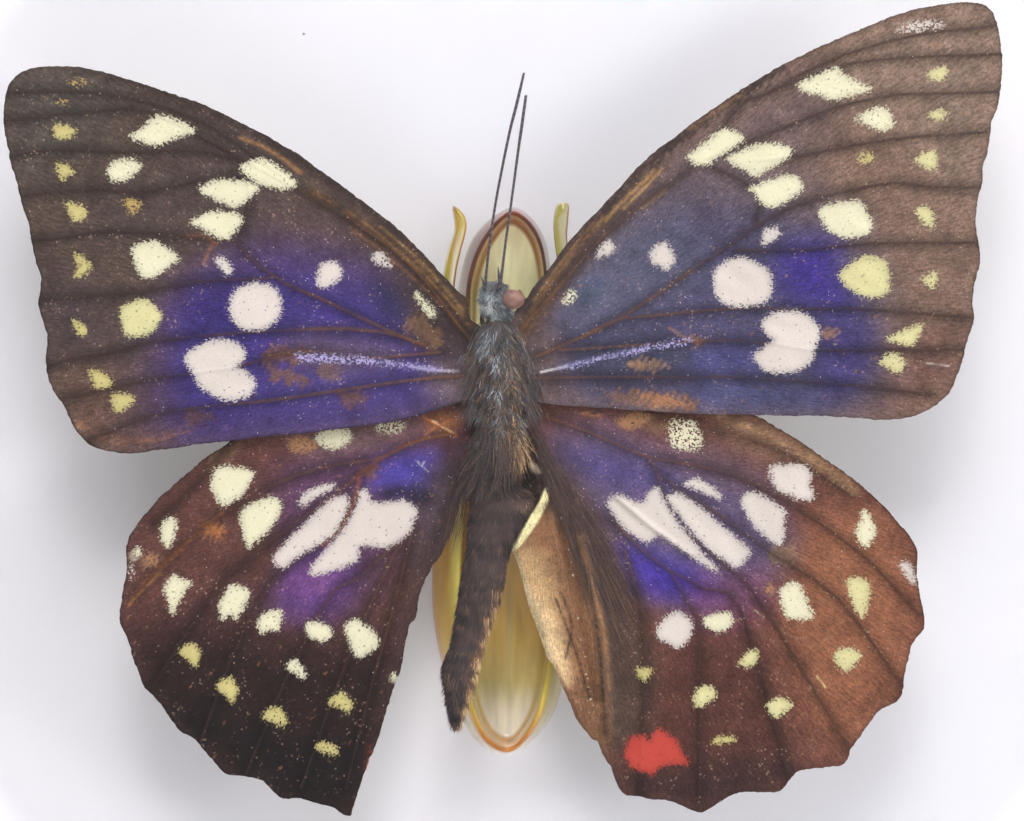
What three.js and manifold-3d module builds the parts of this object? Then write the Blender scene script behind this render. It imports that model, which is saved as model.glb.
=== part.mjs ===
// A large purple butterfly, spread and dried, on a clear cradle in a low glass dome with a turned wooden base.
// Units are millimetres and +Z is up. The origin is the middle of the base's underside, and +Y is the head's way.
import * as THREE from 'three';
import { mergeVertices } from 'three/addons/utils/BufferGeometryUtils.js';
import Module from 'manifold-3d';

// Case
const BASE_RADIUS = 82;
const BASE_HEIGHT = 16;
const GLASS_RADIUS = 76;
const GLASS_WALL = 2;
const GLASS_SHOULDER = 30;
const GLASS_TOP = 60;
const GROOVE_DEPTH = 3;
const GAP = 0.3;
const CARD_RADIUS = 71.5;
const CARD_THICKNESS = 1.2;
const ROUND_SIDES = 56;
const CAP_STEPS = 8;

// Cradle
const RIDGE_HEIGHT = 6.8;
const FOOT_HEIGHT = 0.8;
const FLOOR_THICKNESS = 1.8;
const FINGER_LOW = 3.6;
const FINGER_HIGH = 6.4;
const RING_POINTS = 40;
// The trough's inner outlines are its ridge drawn in towards its middle by these shares, and less along its length.
const RIDGE_INSET = 0.06;
const FLOOR_INSET = 0.16;
const LENGTHWISE_SHARE = 0.2;

// Specimen
const WING_THICKNESS = 0.35;
const HINDWING_HEIGHT = 7.8;
const FOREWING_HEIGHT = 8.9;
const WING_LIFT = 3;
const HALF_SPAN = 50;

const CARD_TOP = BASE_HEIGHT + GAP + CARD_THICKNESS;
const CRADLE_BOTTOM = CARD_TOP + GAP;

// The plan of the specimen is drawn ten marks to the millimetre, x to the right and y down from the sheet's corner.
const PLAN_SCALE = 0.1;
const PLAN_CENTRE = [512, 410.5];
const planX = (x) => (x - PLAN_CENTRE[0]) * PLAN_SCALE;
const planY = (y) => (PLAN_CENTRE[1] - y) * PLAN_SCALE;
const plan = (marks) => marks.map(([x, y]) => new THREE.Vector3(planX(x), planY(y), 0));

const group = new THREE.Group();

const finish = (color, roughness, extra = {}) =>
  new THREE.MeshStandardMaterial({ color, roughness, metalness: 0, ...extra });
const stainedWood = finish(0x3b2418, 0.4);
const whiteCard = finish(0xe6e3e2, 0.8);
const clearGlass = finish(0xf4f8f8, 0.05, { transparent: true, opacity: 0.3 });
const yellowedPlastic = finish(0xc9b866, 0.15, { transparent: true, opacity: 0.6 });
const darkBody = finish(0x3a3230, 0.9);
const eyeBrown = finish(0x5a2f28, 0.35);
const wingScales = finish(0x3f2f45, 0.7);

function add(name, geometry, material) {
  const mesh = new THREE.Mesh(geometry, material.clone());
  mesh.name = name;
  group.add(mesh);
  return mesh;
}

// A closed mesh from a list of rings with the same number of points, capped at both ends.
function loft(rings) {
  const count = rings[0].length;
  const positions = rings.flat().flatMap((p) => [p.x, p.y, p.z]);
  const index = [];
  for (let r = 0; r + 1 < rings.length; r += 1) {
    for (let i = 0; i < count; i += 1) {
      const next = (i + 1) % count;
      const a = r * count + i;
      const b = r * count + next;
      index.push(a, b, b + count, a, b + count, a + count);
    }
  }
  const ends = [0, rings.length - 1];
  ends.forEach((r, end) => {
    const centre = rings[r].reduce((sum, p) => sum.add(p), new THREE.Vector3()).divideScalar(count);
    const hub = positions.length / 3;
    positions.push(centre.x, centre.y, centre.z);
    for (let i = 0; i < count; i += 1) {
      const next = (i + 1) % count;
      const rim = [r * count + i, r * count + next];
      index.push(hub, ...(end === 0 ? rim.reverse() : rim));
    }
  });
  const geometry = new THREE.BufferGeometry();
  geometry.setAttribute('position', new THREE.Float32BufferAttribute(positions, 3));
  geometry.setIndex(index);
  return geometry;
}

// A round-sectioned limb along a smooth line. Each station is [x, y, z, half width, half height].
function limb(stations, steps, sides) {
  const line = new THREE.CatmullRomCurve3(stations.map(([x, y, z]) => new THREE.Vector3(x, y, z)));
  const girth = new THREE.CatmullRomCurve3(stations.map(([, , , w, h]) => new THREE.Vector3(w, h, 0)));
  const up = new THREE.Vector3(0, 0, 1);
  const rings = [];
  for (let s = 0; s <= steps; s += 1) {
    const centre = line.getPoint(s / steps);
    const size = girth.getPoint(s / steps);
    const ahead = line.getTangent(s / steps);
    const side = new THREE.Vector3().crossVectors(ahead, up).normalize();
    const top = new THREE.Vector3().crossVectors(side, ahead).normalize();
    const ring = [];
    for (let i = 0; i < sides; i += 1) {
      const turn = (-2 * Math.PI * i) / sides;
      ring.push(centre.clone()
        .addScaledVector(side, size.x * Math.cos(turn))
        .addScaledVector(top, size.y * Math.sin(turn)));
    }
    rings.push(ring);
  }
  return loft(rings);
}

function turned(profile) {
  const points = profile.map(([r, z]) => new THREE.Vector2(r, z));
  return new THREE.LatheGeometry(points, ROUND_SIDES).rotateX(Math.PI / 2);
}

// Base: a turned disc with a bead round its foot, a cove above it and a groove for the glass.
const grooveOut = GLASS_RADIUS + GAP;
const grooveIn = GLASS_RADIUS - GLASS_WALL - GAP;
const grooveFloor = BASE_HEIGHT - GROOVE_DEPTH;
add('base', turned([
  [0, 0],
  [BASE_RADIUS - 1.5, 0],
  [BASE_RADIUS, 1.5],
  [BASE_RADIUS, 5],
  [BASE_RADIUS - 0.9, 6.6],
  [BASE_RADIUS - 2.4, 7.4],
  [BASE_RADIUS - 3.2, 9],
  [BASE_RADIUS - 3.4, 12.5],
  [BASE_RADIUS - 3.9, 15],
  [BASE_RADIUS - 4.9, BASE_HEIGHT],
  [grooveOut, BASE_HEIGHT],
  [grooveOut, grooveFloor],
  [grooveIn, grooveFloor],
  [grooveIn, BASE_HEIGHT],
  [0, BASE_HEIGHT],
]), stainedWood);

// Backing: a plain white card disc that covers the wood inside the glass.
add('backing', turned([
  [0, BASE_HEIGHT + GAP],
  [CARD_RADIUS, BASE_HEIGHT + GAP],
  [CARD_RADIUS, CARD_TOP],
  [0, CARD_TOP],
]), whiteCard);

// Dome: an upright wall that rounds over into a low cap.
function domeWall(radius, top) {
  const arc = [];
  for (let s = 0; s < CAP_STEPS; s += 1) {
    const turn = (s / CAP_STEPS) * (Math.PI / 2);
    arc.push([radius * Math.cos(turn), GLASS_SHOULDER + (top - GLASS_SHOULDER) * Math.sin(turn)]);
  }
  return [...arc, [0, top]];
}
const glassFoot = grooveFloor + GAP;
add('dome', turned([
  ...domeWall(GLASS_RADIUS - GLASS_WALL, GLASS_TOP - GLASS_WALL).reverse(),
  [GLASS_RADIUS - GLASS_WALL, glassFoot],
  [GLASS_RADIUS, glassFoot],
  ...domeWall(GLASS_RADIUS, GLASS_TOP),
]), clearGlass);

// Cradle: an oval trough. Its wall rises from a wide foot to a narrow ridge, and falls to a flat floor inside.
const CRADLE_FOOT = [
  [508, 208], [532, 215], [549, 237], [557, 275], [563, 350], [568, 450], [572, 550], [573, 630], [563, 695], [545, 735],
  [510, 763], [474, 748], [450, 700], [434, 640], [430, 570], [438, 480], [447, 400], [453, 330], [460, 275], [476, 233],
];
const CRADLE_RIDGE = [
  [508, 216], [527, 223], [540, 245], [546, 280], [550, 352], [554, 450], [556, 548], [555, 625], [547, 688], [534, 728],
  [510, 754], [484, 741], [468, 700], [461, 640], [458, 570], [463, 490], [464, 405], [466, 335], [470, 280], [485, 241],
];
const CRADLE_MIDDLE = new THREE.Vector2(planX(509), planY(490));

function oval(marks, height, inset = 0) {
  const curve = new THREE.CatmullRomCurve3(plan(marks), true);
  const ring = curve.getPoints(RING_POINTS).slice(0, RING_POINTS).reverse();
  ring.forEach((p) => {
    p.x += (CRADLE_MIDDLE.x - p.x) * inset;
    p.y += (CRADLE_MIDDLE.y - p.y) * inset * LENGTHWISE_SHARE;
    p.z = CRADLE_BOTTOM + height;
  });
  return ring;
}
const trough = loft([
  oval(CRADLE_FOOT, 0),
  oval(CRADLE_FOOT, FOOT_HEIGHT),
  oval(CRADLE_RIDGE, RIDGE_HEIGHT),
  oval(CRADLE_RIDGE, RIDGE_HEIGHT, RIDGE_INSET),
  oval(CRADLE_RIDGE, FLOOR_THICKNESS, FLOOR_INSET),
]);

// The fingers run forward from the trough's flanks and stand clear of its head end.
const LEFT_FINGER = [
  [452, 204], [463, 212], [466, 226], [460, 250], [455, 275], [452, 320], [456, 372], [462, 402],
  [448, 402], [443, 372], [440, 320], [442, 275], [447, 250], [454, 226],
];
const RIGHT_FINGER = [
  [569, 202], [569, 218], [568, 238], [573, 275], [577, 320], [573, 372], [566, 402],
  [552, 402], [560, 372], [564, 320], [560, 275], [555, 240], [554, 218], [558, 202],
];
function finger(marks) {
  const outline = new THREE.Shape(plan(marks).map((p) => new THREE.Vector2(p.x, p.y)));
  const height = FINGER_HIGH - FINGER_LOW;
  const bar = new THREE.ExtrudeGeometry(outline, { depth: height, bevelEnabled: false });
  return bar.translate(0, 0, CRADLE_BOTTOM + FINGER_LOW);
}

const wasm = await Module();
wasm.setup();

function toSolid(geometry) {
  geometry.deleteAttribute('normal');
  geometry.deleteAttribute('uv');
  const merged = mergeVertices(geometry, 1e-5);
  return new wasm.Manifold(new wasm.Mesh({
    numProp: 3,
    vertProperties: new Float32Array(merged.attributes.position.array),
    triVerts: new Uint32Array(merged.index.array),
  }));
}

function toGeometry(solid) {
  const mesh = solid.getMesh();
  const geometry = new THREE.BufferGeometry();
  geometry.setAttribute('position', new THREE.BufferAttribute(mesh.vertProperties, 3));
  geometry.setIndex(new THREE.BufferAttribute(mesh.triVerts, 1));
  return geometry;
}

const moulding = toSolid(trough).add(toSolid(finger(LEFT_FINGER))).add(toSolid(finger(RIGHT_FINGER)));
add('cradle', toGeometry(moulding), yellowedPlastic);

// Body: the thorax sits in the trough, and the abdomen lies over its left flank.
const at = (x, y, up) => [planX(x), planY(y), CRADLE_BOTTOM + up];
add('thorax', limb([
  [...at(499, 319, 8.2), 0.6, 0.7],
  [...at(499, 326, 8), 1.6, 1.9],
  [...at(499, 350, 7.6), 2.1, 3],
  [...at(499, 400, 7.2), 2.2, 3.2],
  [...at(496, 440, 7.2), 2.1, 2.8],
  [...at(492, 468, 7.6), 1.6, 1.9],
  [...at(491, 474, 7.8), 0.6, 0.7],
], 12, 14), darkBody);
add('abdomen', limb([
  [...at(490, 480, 8.7), 0.7, 0.7],
  [...at(489, 490, 8.8), 1.7, 1.6],
  [...at(490, 535, 8.9), 1.95, 1.7],
  [...at(481, 590, 8.9), 1.95, 1.7],
  [...at(467, 647, 8.9), 1.8, 1.6],
  [...at(459, 694, 9), 1.3, 1.3],
  [...at(455, 719, 9.1), 0.7, 0.7],
  [...at(454, 728, 9.1), 0.2, 0.2],
], 16, 14), darkBody);
add('head', limb([
  [...at(496, 281, 8.6), 0.5, 0.5],
  [...at(498, 287, 8.6), 1.1, 1.2],
  [...at(500, 299, 8.6), 1.25, 1.6],
  [...at(500, 310, 8.6), 1.1, 1.2],
  [...at(500, 315, 8.6), 0.5, 0.5],
], 8, 12), darkBody);
const eye = (x) => limb([
  [...at(x, 286, 8.6), 0.3, 0.3],
  [...at(x, 290, 8.6), 0.62, 0.95],
  [...at(x, 298, 8.6), 0.7, 1.15],
  [...at(x, 306, 8.6), 0.62, 0.95],
  [...at(x, 310, 8.6), 0.3, 0.3],
], 8, 10);
add('eye_left', eye(477), eyeBrown);
add('eye_right', eye(524), eyeBrown);
add('palp_left', limb([
  [...at(490, 280, 7.6), 0.35, 0.35],
  [...at(485, 276, 7.4), 0.3, 0.35],
  [...at(480, 270, 7.2), 0.12, 0.12],
], 5, 8), darkBody);
add('palp_right', limb([
  [...at(500, 276, 7.6), 0.35, 0.35],
  [...at(499, 271, 7.4), 0.3, 0.35],
  [...at(497, 263, 7.2), 0.12, 0.12],
], 5, 8), darkBody);

// Antennae: thin stalks that thicken into long slim clubs.
add('antenna_left', limb([
  [...at(485, 281, 9.4), 0.2, 0.2],
  [...at(488, 245, 9.9), 0.17, 0.17],
  [...at(496, 200, 10.3), 0.15, 0.15],
  [...at(509, 140, 10.6), 0.17, 0.17],
  [...at(524, 73, 10.8), 0.22, 0.22],
], 14, 8), darkBody);
add('antenna_right', limb([
  [...at(503, 281, 10.6), 0.2, 0.2],
  [...at(507, 240, 10.9), 0.17, 0.17],
  [...at(513, 190, 11.2), 0.15, 0.15],
  [...at(519, 145, 11.4), 0.17, 0.17],
  [...at(527, 96, 11.6), 0.22, 0.22],
], 14, 8), darkBody);

// Legs: the four walking legs lie folded along the trough's floor under the thorax.
const legs = [
  ['leg_mid_left', -1, 345, 300],
  ['leg_mid_right', 1, 345, 300],
  ['leg_hind_left', -1, 405, 455],
  ['leg_hind_right', 1, 405, 455],
];
legs.forEach(([name, side, hip, foot]) => {
  add(name, limb([
    [...at(506 + 8 * side, hip, 3.2), 0.25, 0.25],
    [...at(506 + 24 * side, (hip + foot) / 2, 3.4), 0.25, 0.25],
    [...at(506 + 20 * side, foot, 2.6), 0.18, 0.18],
    [...at(506 + 11 * side, foot + (foot - hip) * 0.35, 2.4), 0.12, 0.12],
  ], 8, 6), darkBody);
});

// Wings: thin plates between a leading and a trailing edge that meet near the tip, lifting towards the tips.
function wing(leading, trailing, height, rows, columns) {
  const front = new THREE.CatmullRomCurve3(plan(leading));
  const back = new THREE.CatmullRomCurve3(plan(trailing));
  const sheet = (thickness) => {
    const points = [];
    for (let r = 0; r <= rows; r += 1) {
      const start = front.getPointAt(r / rows);
      const end = back.getPointAt(r / rows);
      for (let c = 0; c <= columns; c += 1) {
        const p = start.clone().lerp(end, c / columns);
        p.z = CRADLE_BOTTOM + height + WING_LIFT * (p.x / HALF_SPAN) ** 2 + thickness;
        points.push(p);
      }
    }
    return points;
  };
  const points = [...sheet(WING_THICKNESS), ...sheet(0)];
  const across = columns + 1;
  const under = across * (rows + 1);
  const index = [];
  const quad = (a, b, c, d) => index.push(a, b, c, a, c, d);
  for (let r = 0; r < rows; r += 1) {
    for (let c = 0; c < columns; c += 1) {
      const a = r * across + c;
      quad(a, a + across, a + across + 1, a + 1);
      quad(a + under, a + 1 + under, a + across + 1 + under, a + across + under);
    }
    const front0 = r * across;
    const back0 = front0 + columns;
    quad(front0, front0 + under, front0 + across + under, front0 + across);
    quad(back0, back0 + across, back0 + across + under, back0 + under);
  }
  for (let c = 0; c < columns; c += 1) {
    const tip = rows * across + c;
    quad(c, c + 1, c + 1 + under, c + under);
    quad(tip, tip + under, tip + 1 + under, tip + 1);
  }
  const isRight = points[0].x > 0;
  if (isRight) index.reverse();
  const geometry = new THREE.BufferGeometry();
  geometry.setAttribute('position', new THREE.Float32BufferAttribute(points.flatMap((p) => [p.x, p.y, p.z]), 3));
  geometry.setIndex(index);
  return geometry;
}

add('forewing_left', wing([
  [469, 322], [455, 290], [425, 256], [380, 215], [320, 171], [260, 133], [200, 104], [130, 81], [75, 67], [40, 69], [18, 78],
], [
  [472, 396], [420, 415], [360, 426], [300, 434], [233, 441], [183, 447], [123, 453], [85, 440], [57, 395], [46, 340],
  [41, 280], [30, 223], [18, 178], [8, 132], [10, 88],
], FOREWING_HEIGHT, 20, 9), wingScales);
add('forewing_right', wing([
  [528, 318], [552, 268], [600, 210], [660, 149], [740, 91], [814, 50], [891, 18], [940, 6], [978, 5], [993, 18],
], [
  [526, 394], [560, 406], [650, 411], [757, 415], [844, 417], [896, 419], [938, 402], [962, 361], [972, 302], [977, 241],
  [980, 183], [990, 125], [1000, 70], [998, 34],
], FOREWING_HEIGHT, 20, 9), wingScales);
add('hindwing_left', wing([
  [474, 408], [430, 378], [380, 372], [320, 388], [270, 412], [228, 443], [178, 481], [145, 514], [126, 548], [121, 610],
  [140, 680], [180, 731],
], [
  [465, 482], [452, 533], [425, 582], [405, 650], [380, 730], [352, 813], [318, 802], [280, 796], [225, 771], [190, 736],
], HINDWING_HEIGHT, 18, 9), wingScales);
add('hindwing_right', wing([
  [528, 408], [570, 380], [630, 372], [690, 385], [758, 416], [831, 462], [888, 510], [917, 553], [925, 623], [905, 674],
  [870, 722],
], [
  [545, 490], [523, 535], [522, 565], [535, 620], [565, 693], [602, 750], [628, 794], [700, 811], [775, 790], [842, 763],
  [862, 733],
], HINDWING_HEIGHT, 18, 9), wingScales);

export default group;
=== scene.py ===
"""A large purple butterfly, spread and dried, on a clear cradle over white card, under a low glass dome."""
import math

import bpy
import numpy as np
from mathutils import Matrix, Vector
from mathutils.geometry import delaunay_2d_cdt


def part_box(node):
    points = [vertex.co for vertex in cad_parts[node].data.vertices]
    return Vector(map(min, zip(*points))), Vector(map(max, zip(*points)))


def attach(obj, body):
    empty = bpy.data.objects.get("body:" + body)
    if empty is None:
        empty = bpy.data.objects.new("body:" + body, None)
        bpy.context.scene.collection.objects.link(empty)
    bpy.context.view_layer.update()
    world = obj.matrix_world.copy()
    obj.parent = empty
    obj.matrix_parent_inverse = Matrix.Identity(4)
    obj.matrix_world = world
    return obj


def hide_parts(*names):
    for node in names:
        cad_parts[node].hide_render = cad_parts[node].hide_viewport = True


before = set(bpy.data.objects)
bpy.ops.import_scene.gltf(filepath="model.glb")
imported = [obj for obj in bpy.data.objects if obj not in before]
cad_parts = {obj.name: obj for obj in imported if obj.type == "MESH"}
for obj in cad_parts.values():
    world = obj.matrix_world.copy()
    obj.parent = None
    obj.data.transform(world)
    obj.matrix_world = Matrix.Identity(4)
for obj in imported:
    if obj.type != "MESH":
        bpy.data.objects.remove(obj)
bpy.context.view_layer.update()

# ---- Base -------------------------------------------------------------------------------------------------
# A round base of dark-stained beech, turned on a lathe: a bead round the foot, a cove above it and a groove
# that the glass stands in. Satin varnish over open grain gives it a soft gloss with long dark pores.
MM = 0.001
BASE_STEPS = 160


def linear(hex_colour):
    """An sRGB hex colour as linear light, opaque."""
    parts = [int(hex_colour[i : i + 2], 16) / 255 for i in (1, 3, 5)]
    return tuple(c / 12.92 if c <= 0.04045 else ((c + 0.055) / 1.055) ** 2.4 for c in parts) + (1.0,)


def put(tree, kind, sockets=None, **settings):
    """Adds a shader node. A socket takes a constant, another's socket, or a node for its first output."""
    made = tree.nodes.new("ShaderNode" + kind)
    for key, value in settings.items():
        setattr(made, key, value)
    for key, value in (sockets or {}).items():
        if isinstance(value, bpy.types.Node):
            value = value.outputs[0]
        if isinstance(value, bpy.types.NodeSocket):
            tree.links.new(value, made.inputs[key])
        else:
            made.inputs[key].default_value = value
    return made


def new_material(name):
    """An empty material and its node tree."""
    made = bpy.data.materials.new(name)
    made.use_nodes = True
    made.node_tree.nodes.clear()
    return made, made.node_tree


def turn(name, profile, steps):
    """Turns a closed half profile, given as (radius, height) in mm, once round the upright axis."""
    bpy.ops.object.select_all(action="DESELECT")
    bpy.ops.mesh.primitive_circle_add(vertices=len(profile), radius=1)
    made = bpy.context.object
    made.name = name
    for vertex, (radius, height) in zip(made.data.vertices, profile):
        vertex.co = (radius * MM, 0, height * MM)
    bpy.ops.object.mode_set(mode="EDIT")
    bpy.ops.mesh.select_all(action="SELECT")
    bpy.ops.mesh.spin(steps=steps, angle=2 * math.pi, center=(0, 0, 0), axis=(0, 0, 1))
    bpy.ops.mesh.select_all(action="SELECT")
    bpy.ops.mesh.remove_doubles(threshold=1e-6)
    bpy.ops.mesh.dissolve_degenerate(threshold=1e-7)
    bpy.ops.mesh.delete_loose()
    bpy.ops.mesh.select_all(action="SELECT")
    bpy.ops.mesh.normals_make_consistent(inside=False)
    bpy.ops.object.mode_set(mode="OBJECT")
    return made


def stand_for(piece, node):
    """Lets a piece stand for a node of the frame."""
    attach(piece, "root")
    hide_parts(node)


def dress(piece, material, node):
    """Gives a piece its material, and lets it stand for a node of the frame."""
    piece.data.materials.clear()
    piece.data.materials.append(material)
    stand_for(piece, node)


def round_corners(profile, radius, sharp=()):
    """Rounds the corners of a profile with short arcs, apart from those named by their place in the list."""
    rounded = []
    most_of_side = 0.45
    for i, corner in enumerate(profile):
        before, here, after = Vector(profile[i - 1]), Vector(corner), Vector(profile[(i + 1) % len(profile)])
        if i in sharp:
            rounded.append(tuple(here))
            continue
        reach = min(radius, (before - here).length * most_of_side, (after - here).length * most_of_side)
        start = here + (before - here).normalized() * reach
        end = here + (after - here).normalized() * reach
        for share in (0, 0.25, 0.5, 0.75, 1):
            rounded.append(tuple(start.lerp(here, share).lerp(here.lerp(end, share), share)))
    return rounded


base_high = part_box("base")[1]
dome_low, dome_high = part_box("dome")
base_radius = base_high.x / MM
base_top = base_high.z / MM
glass_radius = dome_high.x / MM
glass_foot = dome_low.z / MM
glass_wall = 2.0
groove_play = 0.3
groove_floor = glass_foot - groove_play
profile = round_corners(
    [
        (0, 0),
        (base_radius - 1.5, 0),
        (base_radius, 1.5),
        (base_radius, 5),
        (base_radius - 0.9, 6.6),
        (base_radius - 2.4, 7.4),
        (base_radius - 3.2, 9),
        (base_radius - 3.4, 12.5),
        (base_radius - 3.9, 15),
        (base_radius - 4.9, base_top),
        (glass_radius + groove_play, base_top),
        (glass_radius + groove_play, groove_floor),
        (glass_radius - glass_wall - groove_play, groove_floor),
        (glass_radius - glass_wall - groove_play, base_top),
        (0, base_top),
    ],
    0.8,
    sharp=(0, 11, 12, 14),
)
base = turn("turned_base", profile, BASE_STEPS)
base.data.shade_smooth()

# Beech is IOR 1.5 under a satin varnish. The growth rings run along X, about 3 mm apart, and the pores are
# drawn 0.4 mm wide.
beech, tree = new_material("stained_beech_satin_varnish")
place = put(tree, "TexCoord").outputs["Object"]
along_grain = put(tree, "Mapping", {"Vector": place, "Scale": (14, 330, 330)})
drift = put(tree, "TexNoise", {"Vector": along_grain, "Scale": 0.35, "Detail": 3})
rings = put(tree, "TexNoise", {"Vector": along_grain, "Scale": 1.0, "Detail": 5, "Distortion": 0.6})
pore_grain = put(tree, "Mapping", {"Vector": place, "Scale": (160, 2600, 2600)})
pores = put(tree, "TexNoise", {"Vector": pore_grain, "Scale": 1.0, "Detail": 2})
pore_mask = put(tree, "MapRange", {"Value": pores, "From Min": 0.56, "From Max": 0.68})
stain = put(tree, "MixRGB", {"Fac": rings, "Color1": linear("#2c1810"), "Color2": linear("#5e3721")})
stain = put(tree, "MixRGB", {"Fac": drift, "Color1": stain, "Color2": linear("#4a2b1b")})
stain = put(tree, "MixRGB", {"Fac": pore_mask, "Color1": stain, "Color2": linear("#1b0e09")})
gloss = put(tree, "MapRange", {"Value": drift, "To Min": 0.27, "To Max": 0.4})
relief = put(tree, "Bump", {"Height": pore_mask, "Strength": 0.25, "Distance": 0.00008}, invert=True)
varnish = {"IOR": 1.5, "Coat Weight": 0.35, "Coat Roughness": 0.18}
finish = put(tree, "BsdfPrincipled", {"Base Color": stain, "Roughness": gloss, "Normal": relief, **varnish})
put(tree, "OutputMaterial", {"Surface": finish})
dress(base, beech, "base")

# ---- Backing ----------------------------------------------------------------------------------------------
# A disc of white mount card, cut to fit inside the glass. It is uncoated, so it is matt, with a fine felt of
# fibres, and it has the specks of dust and scale that drop from an old specimen.
card_low, card_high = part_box("backing")
card_top = card_high.z / MM
card = turn(
    "white_card",
    round_corners(
        [
            (0, card_low.z / MM),
            (card_high.x / MM, card_low.z / MM),
            (card_high.x / MM, card_top),
            (0, card_top),
        ],
        0.15,
        sharp=(0, 3),
    ),
    BASE_STEPS,
)
card.data.shade_smooth()

# Card's fibres are 0.03 mm wide, drawn at 0.15 mm so that they show. A speck is 0.1 to 0.3 mm across.
mount_card, tree = new_material("uncoated_mount_card")
place = put(tree, "TexCoord").outputs["Object"]
fibres = put(tree, "TexNoise", {"Vector": place, "Scale": 6500, "Detail": 3, "Roughness": 0.7})
stains = put(tree, "TexNoise", {"Vector": place, "Scale": 26, "Detail": 2})
specks = put(tree, "TexVoronoi", {"Vector": place, "Scale": 150})
speck_ends = {"From Min": 0.014, "From Max": 0.03, "To Min": 1, "To Max": 0}
speck_mask = put(tree, "MapRange", {"Value": specks.outputs["Distance"], **speck_ends})
speck_rare = put(tree, "Math", {0: specks.outputs["Color"], 1: 0.72}, operation="GREATER_THAN")
speck_mask = put(tree, "Math", {0: speck_mask, 1: speck_rare}, operation="MULTIPLY")
white = put(tree, "MixRGB", {"Fac": stains, "Color1": linear("#d9d3d6"), "Color2": linear("#d2d2da")})
tooth = {"IOR": 1.45, "Specular IOR Level": 0.25}
white = put(tree, "MixRGB", {"Fac": speck_mask, "Color1": white, "Color2": linear("#6a6a70")})
relief = put(tree, "Bump", {"Height": fibres, "Strength": 0.3, "Distance": 0.00006})
finish = put(tree, "BsdfPrincipled", {"Base Color": white, "Roughness": 0.85, "Normal": relief, **tooth})
put(tree, "OutputMaterial", {"Surface": finish})
dress(card, mount_card, "backing")

# ---- Cradle -----------------------------------------------------------------------------------------------
# One clear moulding, yellowed with age, that holds the body from below: a long oval trough with a ridge all round and
# two fingers at the head end. It takes its amber edge from the long way that light goes inside it, and that amber is
# painted into its tint as well. So is a painted dark band at the head end of flank and ridge, and the head end of its
# floor is painted lighter against the shade of the wings and head.
PLAN_SCALE = 0.1
PLAN_CENTRE = (512, 410.5)
FAR = 2.5
CRADLE_FOOT = [
    (508, 203), (530, 211), (546, 236), (553, 275), (563, 350), (568, 450), (572, 550), (573, 630), (563, 695),
    (545, 735), (510, 763), (474, 748), (450, 700), (434, 640), (430, 570), (438, 480), (447, 400), (453, 330),
    (459, 272), (475, 229),
]
HEAD_FLOOR = 1.6
HEAD_FLOOR_END = (250, 320)
TROUGH_FLOOR = 1.8
CRADLE_RIDGE = [
    (508, 211), (527, 218), (541, 241), (547, 278), (550, 352), (554, 450), (556, 548), (555, 625), (547, 688),
    (534, 728), (510, 754), (484, 741), (468, 700), (461, 640), (458, 570), (463, 490), (464, 405), (466, 335),
    (469, 278), (484, 237),
]
LEFT_FINGER = [
    (452, 204), (463, 212), (466, 226), (460, 250), (455, 275), (452, 320), (456, 372), (462, 402), (448, 402),
    (443, 372), (440, 320), (442, 275), (447, 250), (454, 226),
]
RIGHT_FINGER = [
    (569, 202), (569, 218), (568, 238), (573, 275), (577, 320), (573, 372), (566, 402), (552, 402), (560, 372),
    (564, 320), (560, 275), (555, 240), (554, 218), (558, 202),
]
FINGER_RINGS = ((3.6, 0.2), (3.75, 0.06), (4.1, 0), (5.9, 0), (6.25, 0.08), (6.4, 0.25))
CLEARNESS = 0.4


def plan(marks):
    """Marks on the specimen's plan, ten to the mm, x right and y down from its corner, as mm from the axis."""
    marks = np.array(marks, float)
    return np.column_stack([marks[:, 0] - PLAN_CENTRE[0], PLAN_CENTRE[1] - marks[:, 1]]) * PLAN_SCALE


def smooth(points, closed=False, steps=8):
    """A smooth line through the points, with that many steps to each."""
    points = np.asarray(points, float)
    if closed:
        padded = np.concatenate([points[-1:], points, points[:2]])
    else:
        padded = np.concatenate([2 * points[:1] - points[1:2], points, 2 * points[-1:] - points[-2:-1]])
    share = (np.arange(steps) / steps)[None, :, None]
    a, b, c, d = (padded[i : len(padded) - 3 + i, None, :] for i in range(4))
    curve = 2 * b + (c - a) * share + (2 * a - 5 * b + 4 * c - d) * share**2 + (3 * b - a - 3 * c + d) * share**3
    curve = curve.reshape(-1, points.shape[1]) / 2
    return curve if closed else np.concatenate([curve, points[-1:]])


def evenly(line, count, closed=False):
    """Points along a line at even steps."""
    if closed:
        line = np.concatenate([line, line[:1]])
    passed = np.concatenate([[0], np.cumsum(np.linalg.norm(np.diff(line, axis=0), axis=1))])
    stops = np.linspace(0, passed[-1], count + 1)[:-1] if closed else np.linspace(0, passed[-1], count)
    return np.column_stack([np.interp(stops, passed, line[:, k]) for k in range(line.shape[1])])


def near_line(points, line):
    """How far each point lies from a line, and how far along the line its nearest place is, in mm."""
    gap = np.full(len(points), 1e9)
    along = np.zeros(len(points))
    passed = 0.0
    for start, end in zip(line, line[1:]):
        step = end - start
        length = math.hypot(*step)
        share = np.clip((points - start) @ step / (length**2 + 1e-12), 0, 1)
        away = points - start - share[:, None] * step
        here = np.sqrt(away[:, 0] ** 2 + away[:, 1] ** 2)
        closer = here < gap
        gap[closer] = here[closer]
        along[closer] = passed + share[closer] * length
        passed += length
    return gap, along


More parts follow.
